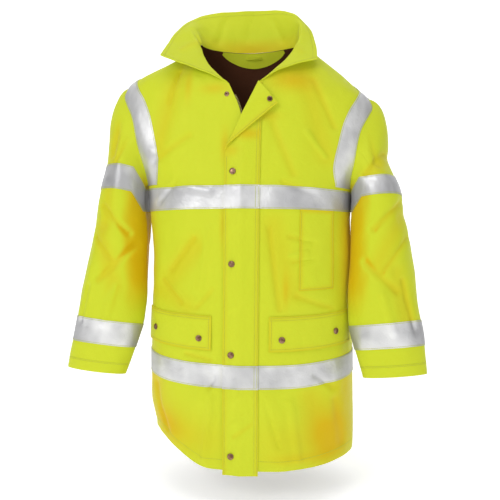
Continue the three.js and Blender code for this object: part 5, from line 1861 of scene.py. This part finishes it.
@dataclass
class NeckInside:
    """What shows inside the neck: the lining, the half-moon facing and the hanger loop."""

    panels: BodyPanels
    dressing: "Dressing"
    lining_lift: float = WALL + LIE_GAP
    facing_lift: float = WALL + 2 * LIE_GAP + BAND_THICK
    loop_half: float = 19.0
    loop_z: float = -22.0
    loop_height: float = 5.0
    loop_bow: float = 6.5
    loop_thick: float = 1.2

    def build(self) -> None:
        """Makes the three pieces."""
        panels, wardrobe = self.panels, self.dressing.wardrobe
        rows, columns = panels.back_rows, panels.back_columns
        low, high = float(rows[TOP_ROW - 6]), rows[-1] - 0.1
        lining = self.inside(np.linspace(low, high, 60), columns[4], 60, self.lining_lift, 0.0)
        piece = shell("back_lining", *lining, [wardrobe.lining])
        self.dressing.enter(piece, ["lining_back"], "lining", Sewn((0.36, 0.24)))
        low = lerp(float(rows[TOP_ROW - 1]), float(rows[-1]), 0.05)
        facing = self.inside(np.linspace(low, rows[-1] - 0.3, 16), columns[2], 40, self.facing_lift, 0.85)
        piece = shell("neck_facing_cloth", *facing, [wardrobe.cloth])
        self.dressing.enter(piece, ["neck_facing"], "shell_cloth", Sewn((0.145, 0.036), share=0.7))
        self.loop()

    def inside(self, rows: Array, reach: int, count: int, lift: float, bow: float) -> tuple[Array, Array]:
        """Outer and inner points of a piece behind the back panel.

        Args:
            rows: Fine rows from its lower to its upper edge.
            reach: Fine columns on each side of the middle.
            count: How many columns the piece has.
            lift: Distance behind the panel's outer face.
            bow: Share by which the lower edge rises towards the ends.

        Returns:
            The two grids.
        """
        back = self.panels.back
        share = np.linspace(-1, 1, count)
        columns = self.panels.middle + reach * share
        rise = bow * share**2 * (rows[-1] - rows[0])
        r = rows[:, None] + rise[None, :] * np.linspace(1, 0, len(rows))[:, None]
        c = np.repeat(columns[None, :], len(rows), axis=0)
        points, normals = between(back.points, r, c), between(back.normals, r, c)
        return points - normals * lift, points - normals * (lift + BAND_THICK)

    def loop(self) -> None:
        """The hanger loop, bowed off the facing and sewn at both ends."""
        form = self.panels.form
        share = np.linspace(-1, 1, 25)
        levels = self.loop_z + self.loop_height * np.linspace(0, 1, 5)
        x, z = np.meshgrid(share * self.loop_half, levels)
        off = self.facing_lift + BAND_THICK + LIE_GAP + 1.7
        deep = form.point(Face.BACK, form.angle_at(np.abs(x), z), z)[..., 1] - off - self.loop_bow * (1 - share**2)
        outer = np.stack([x, deep, z], -1)
        inner = outer - np.array([0, self.loop_thick, 0])
        piece = shell("hanger_loop_cloth", outer, inner, [self.dressing.wardrobe.cloth])
        self.dressing.enter(piece, ["hanger_loop"], "shell_cloth", Sewn((0.042, 0.0105), share=0.55))


class StudKind(Enum):
    """Which half of a press stud shows."""

    CAP = "cap"
    SOCKET = "socket"
    POST = "post"


@dataclass
class Studs:
    """The press studs: capped ones, the open socket on the turned corner and the post at the neck."""

    panels: BodyPanels
    storm: "StormFlap"
    dressing: "Dressing"
    clear: float = 1.3
    pocket_clear: float = 0.7

    def build(self) -> None:
        """Models each kind once and copies it to its places."""
        models = {kind: self.model(kind) for kind in StudKind}
        for k, z in enumerate(FLAP_STUDS):
            height = float(self.storm.lift(np.array(FLAP_STUD_X))) + WALL + self.clear
            self.put(models[StudKind.CAP], f"flap_stud_{k + 1}", self.over(FLAP_STUD_X, z, height))
        turned = float(self.storm.lift(np.array(self.storm.FREE_X))) + 2 * (WALL + self.storm.ROLL)
        self.put(models[StudKind.SOCKET], "flap_stud_corner", self.over(*CORNER_STUD, turned + self.clear))
        self.put(models[StudKind.POST], "neck_stud", self.on_cloth(self.panels.fronts[Side.RIGHT], *NECK_STUD, 0.0))
        low, high = BODY_ROWS[POCKET_FLAP_ROW][0], BODY_ROWS[POCKET_FLAP_ROW + 2][0]
        for side in Side:
            for word, (x, z) in POCKET_STUDS.items():
                stand = 2 * (1 - (z - low) / (high - low))
                height = LIE_GAP + stand + WALL + self.pocket_clear
                place = self.on_cloth(self.panels.fronts[side], side.value * x, z, height)
                self.put(models[StudKind.CAP], f"pocket_stud_{side.word}_{word}", place)
        for model in models.values():
            discard(model)

    def put(self, model: bpy.types.Object, node: str, place: Place) -> None:
        """Puts a copy of a model where its solid is."""
        piece = copy_at(model, f"{node}_metal", place)
        self.dressing.enter(piece, [node], "stud_brass")

    def over(self, x: float, z: float, height: float) -> Place:
        """A place at a height over the front's form."""
        at = np.array([x]), np.array([z])
        origin = self.storm.over_front(*at, height)[0]
        up = self.storm.over_front(*at, height + 1)[0] - origin
        return Place.on(SIT.settle(origin), up, np.array([1.0, 0.0, 0.0]))

    @staticmethod
    def on_cloth(cloth: Cloth, x: float, z: float, height: float) -> Place:
        """A place at a height over a front's creased cloth."""
        away = np.hypot(cloth.points[..., 0] - x, cloth.points[..., 2] - z)
        i, j = np.unravel_index(np.argmin(away), away.shape)
        up = cloth.normals[i, j]
        origin = cloth.points[i, j] + up * height
        origin[[0, 2]] = x + up[0] * height, z + up[2] * height
        return Place.on(SIT.settle(origin), up, np.array([1.0, 0.0, 0.0]))

    def model(self, kind: StudKind) -> bpy.types.Object:
        """Models one kind of stud, standing on the origin."""
        r, h = STUD_RADIUS, STUD_HEIGHT
        brass = [self.dressing.wardrobe.brass, self.dressing.wardrobe.dark_brass]
        top = lambda level: lambda face: face.normal.z > 0.9 and face.calc_center_median().z > level * MM
        if kind is StudKind.CAP:
            bench = Bench("stud_cap").disc(r, 0.4 * h, 24).pick(top(0.1))
            bench.inset(0.14 * r).raise_by(0.38 * h).inset(0.12 * r).raise_by(-0.1 * h).inset(0.08 * r)
            bench.raise_by(0.2 * h).inset(0.24 * r).raise_by(0.1 * h)
            return bench.finish(0.22, brass, 2)
        if kind is StudKind.SOCKET:
            bench = Bench("stud_socket").disc(0.86 * r, 0.35 * h, 24).pick(top(0.1))
            bench.inset(0.16 * r).raise_by(0.4 * h).inset(0.14 * r).raise_by(0.12 * h).inset(0.08 * r)
            # The socket's sunken well takes the dark brass: tarnish plus painted shadow in the recess.
            bench.raise_by(-0.5 * h).paint(1)
            return bench.finish(0.18, brass, 2)
        bench = Bench("stud_post").disc(0.79 * r, 0.2 * h, 24).pick(top(0.1))
        bench.inset(0.4 * r).raise_by(0.55 * h).inset(0.1 * r).raise_by(0.15 * h).paint(1)
        return bench.finish(0.18, brass, 2)


@dataclass
class Studio:
    """Pale floor swept up behind, soft lights and the camera."""

    floor_z: float = -1.02
    floor_glow: float = 0.46
    camera_turn: float = 8.0
    camera_distance: float = 1.5
    camera_z: float = -0.404
    camera_pitch: float = 2.96
    lens: float = 45.9

    def build(self) -> None:
        """Makes the floor, the light and the camera."""
        self.floor()
        self.world()
        self.area_light("key", (-1.3, -2.3, 0.9), 1.2, 23.0)
        self.area_light("fill", (1.8, -2.0, 0.1), 2.0, 6.5)
        self.area_light("top", (0.0, -0.5, 2.2), 1.8, 17.0)
        self.camera()
        bpy.context.scene.view_settings.view_transform = "Standard"

    def floor(self) -> None:
        """A pale floor that curves up into a backdrop."""
        profile = [(-3.5, self.floor_z), (1.2, self.floor_z)]
        profile += [
            (1.2 + 0.9 * math.sin(a), self.floor_z + 0.9 * (1 - math.cos(a))) for a in np.radians(range(10, 91, 10))
        ]
        profile.append((2.1, 3.2))
        y_z = np.array(profile)
        points = [(x, y, z) for y, z in y_z for x in (-4.5, 4.5)]
        faces = [(2 * k, 2 * k + 1, 2 * k + 3, 2 * k + 2) for k in range(len(profile) - 1)]
        mesh = bpy.data.meshes.new("floor")
        mesh.from_pydata(points, [], faces)
        mesh.polygons.foreach_set("use_smooth", [True] * len(faces))
        floor = bpy.data.objects.new("floor", mesh)
        bpy.context.scene.collection.objects.link(floor)
        material, n, shader = Finish("pale_floor").start()
        grain = n.add("ShaderNodeTexNoise", Scale=3.0, Detail=2.0)
        n.join(n.mix(grain.outputs["Fac"], (0.93, 0.93, 0.93, 1), (0.95, 0.95, 0.95, 1)), shader.inputs["Base Color"])
        shader.inputs["Roughness"].default_value = 0.9
        shader.inputs["Emission Color"].default_value = (1.0, 1.0, 1.0, 1.0)
        shader.inputs["Emission Strength"].default_value = self.floor_glow
        mesh.materials.append(material)
        floor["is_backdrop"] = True

    @staticmethod
    def world() -> None:
        """Soft white light from all round, dimmer from the sides."""
        world = bpy.data.worlds.new("studio")
        world.use_nodes = True
        n = Nodes(world.node_tree)
        place = n.add("ShaderNodeTexCoord")
        axes = n.add("ShaderNodeSeparateXYZ")
        n.join(place.outputs["Generated"], axes.inputs[0])
        sideways = n.math("POWER", n.math("ABSOLUTE", axes.outputs[0], 0.0), 2.0)
        background = n.add("ShaderNodeBackground", Strength=0.48)
        n.join(n.mix(sideways, (1.0, 1.0, 1.0, 1.0), (0.3, 0.3, 0.3, 1.0)), background.inputs["Color"])
        out = n.add("ShaderNodeOutputWorld")
        n.join(background.outputs[0], out.inputs[0])
        bpy.context.scene.world = world

    @staticmethod
    def area_light(name: str, place: tuple[float, float, float], size: float, power: float) -> None:
        """A square soft light aimed at the middle of the jacket."""
        light = bpy.data.lights.new(name, "AREA")
        light.shape = "SQUARE"
        light.size = size
        light.energy = power
        lamp = bpy.data.objects.new(name, light)
        lamp.location = place
        aim = Vector((0.0, 0.0, -0.42)) - Vector(place)
        lamp.rotation_euler = aim.to_track_quat("-Z", "Y").to_euler()
        bpy.context.scene.collection.objects.link(lamp)

    def camera(self) -> None:
        """The camera at the photograph's viewing angle."""
        data = bpy.data.cameras.new("camera")
        data.lens = self.lens
        data.sensor_width = 36.0
        camera = bpy.data.objects.new("camera", data)
        turn = math.radians(self.camera_turn)
        camera.location = (
            math.sin(turn) * self.camera_distance, -math.cos(turn) * self.camera_distance, self.camera_z
        )
        camera.rotation_euler = (math.radians(90 - self.camera_pitch), 0.0, turn)
        bpy.context.scene.collection.objects.link(camera)
        bpy.context.scene.camera = camera


class Jacket:
    """The whole jacket, piece by piece."""

    def __init__(self) -> None:
        """Shapes the cloth and makes the materials."""
        self.form = BodyForm()
        self.panels = BodyPanels(self.form)
        self.wardrobe = Wardrobe()
        self.dressing = Dressing(self.wardrobe)
        self.sewing = Sewing()

    def build(self) -> None:
        """Makes every piece."""
        self.body()
        self.sleeves()
        self.collar()
        self.flap()
        self.bands()
        self.pockets()
        Zip(self.panels, self.storm, self.dressing).build()
        NeckInside(self.panels, self.dressing).build()
        Studs(self.panels, self.storm, self.dressing).build()
        self.hems()
        self.sewing.build(self.dressing)

    def cloth_piece(
        self,
        cloth: Cloth,
        nodes: Sequence[str],
        sewn: Sewn,
        tone: Array | None = None,
        facing: tuple[int, int] | None = None,
    ) -> None:
        """A wall of the yellow cloth.

        Args:
            cloth: The cloth's outer face.
            nodes: Names of the solids that it stands for.
            sewn: Its cut.
            tone: How deep its painted shade is, where the usual painted shade patches don't say it.
            facing: First and last rows inside that stay yellow round a dark lining, or None for no lining.
        """
        materials = [self.wardrobe.cloth, self.wardrobe.lining if facing else self.wardrobe.cloth]
        # Painted shade: the piece's shade patches, plus painted shade in its folds.
        tone = deep_tone(cloth.name, cloth.points) if tone is None else tone
        tone = np.clip(tone + cloth.fold_tone(), 0, 0.95)
        piece = shell(
            f"{cloth.name}_cloth",
            cloth.points,
            cloth.off(-WALL),
            materials,
            cloth.wraps,
            cloth.cells,
            tone,
            facing or (0, 0),
        )
        self.dressing.enter(piece, nodes, "shell_cloth", sewn)

    def body(self) -> None:
        """The two fronts and the back."""
        for side in Side:
            cloth = self.panels.fronts[side]
            self.cloth_piece(cloth, [cloth.name], Sewn((0.40, 0.90), share=0.85), facing=(HEM_TURN, 0))
        back = self.panels.back
        tone = self.back_tone(back.points)
        self.cloth_piece(back, ["back_panel"], Sewn((0.74, 0.94), share=0.87), tone, (HEM_TURN, 0))

    @staticmethod
    def back_tone(points: Array) -> Array:
        """The back's painted shade, which meets the fronts' painted shade at the side seams."""
        beside = np.where(points[..., 0] < 0, deep_tone("front_right", points), deep_tone("front_left", points))
        near_seam = 1 - step_between(points[..., 1], 0, 45)
        return lerp(deep_tone("back_panel", points), beside, near_seam)

    def sleeves(self) -> None:
        """Both sleeves."""
        self.arms = {side: Sleeve(self.panels, side) for side in Side}
        for sleeve in self.arms.values():
            cut = Sewn((0.46, 0.66), share=0.85)
            self.cloth_piece(sleeve.cloth, [sleeve.cloth.name], cut, sleeve.tone, (0, HEM_TURN))

    def collar(self) -> None:
        """The collar."""
        self.neck = Collar(self.panels)
        count = self.neck.cloth.points.shape[1]
        # Painted shade where the collar meets the neck, deepest at the back.
        low = 1 - step_between(np.linspace(0, 1, len(self.neck.cloth.points)), 0.05, 0.42)
        behind = np.sin(np.linspace(0, math.pi, count)) ** 4
        self.cloth_piece(self.neck.cloth, ["collar"], Sewn((0.60, 0.11), share=0.9), 0.7 * low[:, None] * behind)

    def flap(self) -> None:
        """The storm flap."""
        self.storm = StormFlap(self.form)
        materials = [self.wardrobe.cloth, self.wardrobe.cloth]
        # Painted shade: patches under the turned corner, along the flap's sewn and free edges, and in its creases.
        tone = deep_tone("storm_flap", np.stack([self.storm.x, self.storm.x, self.storm.z], -1))
        from_edge = np.minimum(self.storm.SEWN_X - self.storm.x, self.storm.x - self.storm.FREE_X)
        tone = tone + 0.3 * np.exp(-((from_edge / 8) ** 2)) + np.clip(-0.12 * self.storm.ripple, 0, 0.3)
        piece = shell("storm_flap_cloth", self.storm.outer, self.storm.under, materials, tone=tone)
        self.dressing.enter(piece, ["storm_flap"], "shell_cloth", Sewn((0.09, 0.86)))

    def band_piece(self, name: str, outer: Array, under: Array, node: str, flat: tuple[float, float], wraps: bool = False) -> None:
        """A reflective band."""
        # Painted shade: the tape is darker where its face turns sideways, away from the front.
        sideways = np.abs(outer[..., 0] - under[..., 0]) / np.linalg.norm(outer - under, axis=-1)
        tone = 0.75 * step_between(sideways, 0.35, 0.95)
        piece = shell(name, outer, under, [self.wardrobe.tape], wraps, tone=tone)
        self.dressing.enter(piece, [node], "reflective_tape", Sewn(flat))
        edges = (Edge.LEFT, Edge.RIGHT) if "shoulder" in name else (Edge.LOW, Edge.HIGH)
        group = name.replace("_band", "") if "sleeve" in name or "cuff" in name else "bands"
        for edge in edges:
            self.sewing.along(group, outer, under, edge, 2.4, wraps)

    def lying(self, part: Cloth, name: str, node: str, flat: tuple[float, float]) -> None:
        """A reflective band that lies on a cloth."""
        outer, under = part.off(LIE_GAP + BAND_THICK), part.off(LIE_GAP)
        self.band_piece(name, outer, under, node, flat, part.wraps)

    def bands(self) -> None:
        """Reflective bands round the chest, waist, shoulders and sleeves."""
        last_front = len(LAYOUTS[Face.FRONT].angles) - 1
        last_back = 2 * (len(LAYOUTS[Face.BACK].angles) - 1)
        for word, row in (("chest", CHEST_ROW), ("waist", WAIST_ROW)):
            rows = (row, row + 1)
            low, high = BODY_ROWS[row][0], BODY_ROWS[row + 1][0]
            for side in Side:
                first = 1 if side is Side.LEFT else 0
                part = self.panels.fronts[side].part(rows, (first, last_front))
                self.lying(part, f"{word}_band_{side.word}", f"{word}_tape_{side.word}", (0.345, 0.05))
            self.lying(self.panels.back.part(rows, (0, last_back)), f"{word}_band_back", f"{word}_tape_back", (0.72, 0.05))
            outer, under = self.storm.band(low, high)
            self.band_piece(f"{word}_band_flap", outer, under, f"{word}_tape_flap", (0.05, 0.078))
            for distance in FLAP_LINES:
                self.sewing.along("bands", outer, under, Edge.LEFT, distance)
        for side in Side:
            self.shoulder_band(side)
            sleeve = self.arms[side].cloth
            whole = (0, len(sleeve.columns) - 1)
            upper = sleeve.part((len(CAP_STEPS) + 1, len(CAP_STEPS) + 2), whole)
            cuff = sleeve.part((len(CAP_STEPS) + 8, len(CAP_STEPS) + 9), whole)
            self.lying(upper, f"upper_sleeve_band_{side.word}", f"upper_sleeve_tape_{side.word}", (0.46, 0.05))
            self.lying(cuff, f"cuff_band_{side.word}", f"cuff_tape_{side.word}", (0.38, 0.05))

    def shoulder_band(self, side: Side) -> None:
        """The band up the front beside the armhole, over the shoulder and down the back."""
        panels = self.panels
        front, back = panels.fronts[side], panels.back
        first = panels.front_rows[CHEST_ROW + 1] + 1
        f0, f1 = (panels.front_columns[k] for k in (LAYOUTS[Face.FRONT].band, LAYOUTS[Face.FRONT].armhole))
        b0, b1 = (panels.back_columns[k] for k in (LAYOUTS[Face.BACK].band, LAYOUTS[Face.BACK].armhole))
        first_back = panels.back_rows[CHEST_ROW + 1] + 1
        pick = [panels.middle + side.value * k for k in np.linspace(b0, b1, f1 - f0 + 1).round().astype(int)]
        grids = []
        for front_grid, back_grid in ((front.points, back.points), (front.normals, back.normals)):
            up = front_grid[first:, f0 : f1 + 1]
            down = back_grid[first_back:][:, pick][::-1][1:]
            grids.append(np.concatenate([up, down]))
        points, normals = grids
        outer, under = points + normals * (LIE_GAP + BAND_THICK), points + normals * LIE_GAP
        self.band_piece(f"shoulder_band_{side.word}", outer, under, f"shoulder_tape_{side.word}", (0.05, 0.46))

    def pockets(self) -> None:
        """Pocket flaps and the chest pocket."""
        for side in Side:
            part = self.panels.fronts[side].part((POCKET_FLAP_ROW, POCKET_FLAP_ROW + 2), (2, LAYOUTS[Face.FRONT].armhole))
            stand = 2 * (1 - np.linspace(0, 1, len(part.points)))[:, None] * np.ones(part.points.shape[1])
            outer, under = part.off(LIE_GAP + WALL + stand), part.off(LIE_GAP + stand)
            # Painted shade patches, and painted shadow round the flap's edges.
            tone = deep_tone(f"front_{side.word}", outer) + rim_tone(outer.shape[:2], 1.6, 0.35)
            piece = shell(f"pocket_flap_{side.word}_cloth", outer, under, [self.wardrobe.cloth], tone=tone)
            self.dressing.enter(piece, [f"pocket_flap_{side.word}"], "shell_cloth", Sewn((0.22, 0.075)))
            for edge, distance in ((Edge.LOW, 5.5), (Edge.LEFT, 5.5), (Edge.RIGHT, 5.5), (Edge.HIGH, 2.5), (Edge.HIGH, 8)):
                self.sewing.along("pockets", outer, under, edge, distance)
        part = self.panels.fronts[Side.LEFT].part((CHEST_POCKET_ROW, CHEST_ROW), (4, LAYOUTS[Face.FRONT].band))
        outer, under = part.off(LIE_GAP + 2.2), part.off(LIE_GAP)
        # Painted shade patches, and painted shadow round the pocket's edges.
        tone = deep_tone("front_left", outer) + rim_tone(outer.shape[:2], 1.6, 0.55)
        piece = shell("chest_pocket_cloth", outer, under, [self.wardrobe.cloth], tone=tone)
        self.dressing.enter(piece, ["chest_pocket"], "shell_cloth", Sewn((0.1, 0.18)))
        for edge in (Edge.LOW, Edge.LEFT, Edge.RIGHT):
            self.sewing.along("pockets", outer, under, edge, 3.0)

    def hems(self) -> None:
        """Lines of sewing along the hem, the cuffs, the collar and the storm flap's edges."""
        for cloth in (*self.panels.fronts.values(), self.panels.back):
            self.sewing.along("body", cloth.points, cloth.off(-WALL), Edge.LOW, 22.0)
        for side, sleeve in self.arms.items():
            cloth = sleeve.cloth
            self.sewing.along(f"sleeve_{side.word}", cloth.points, cloth.off(-WALL), Edge.HIGH, 22.0, True)
            self.sewing.along(f"sleeve_{side.word}", cloth.points, cloth.off(-WALL), Edge.HIGH, 24.8, True)
        collar = self.neck.cloth
        outer, inner = collar.points, collar.off(-WALL)
        for face, back in ((outer, inner), (inner, outer)):
            self.sewing.along("collar", face, back, Edge.HIGH, 11.0)
            self.sewing.along("collar", face, back, Edge.LEFT, 6.0)
            self.sewing.along("collar", face, back, Edge.RIGHT, 6.0)
        storm = self.storm
        for distance in FLAP_LINES:
            self.sewing.along("storm_flap", storm.outer, storm.under, Edge.LEFT, distance)
        flat = storm.heights < storm.FOLD_LOW_Z - 2
        self.sewing.along("storm_flap", storm.outer[flat], storm.under[flat], Edge.RIGHT, 4.0)
        self.sewing.along("storm_flap", storm.under[~flat], storm.outer[~flat], Edge.RIGHT, 4.0)


def main() -> None:
    """Builds the studio and the jacket."""
    logging.basicConfig(level=logging.INFO, format="%(message)s")
    solid_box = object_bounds()
    Studio().build()
    Jacket().build()
    visual_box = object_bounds()
    plain = lambda box: [[float(v) for v in corner] for corner in box]
    {"solids": plain(solid_box), "visual": plain(visual_box)}


if __name__ == "__main__":
    main()
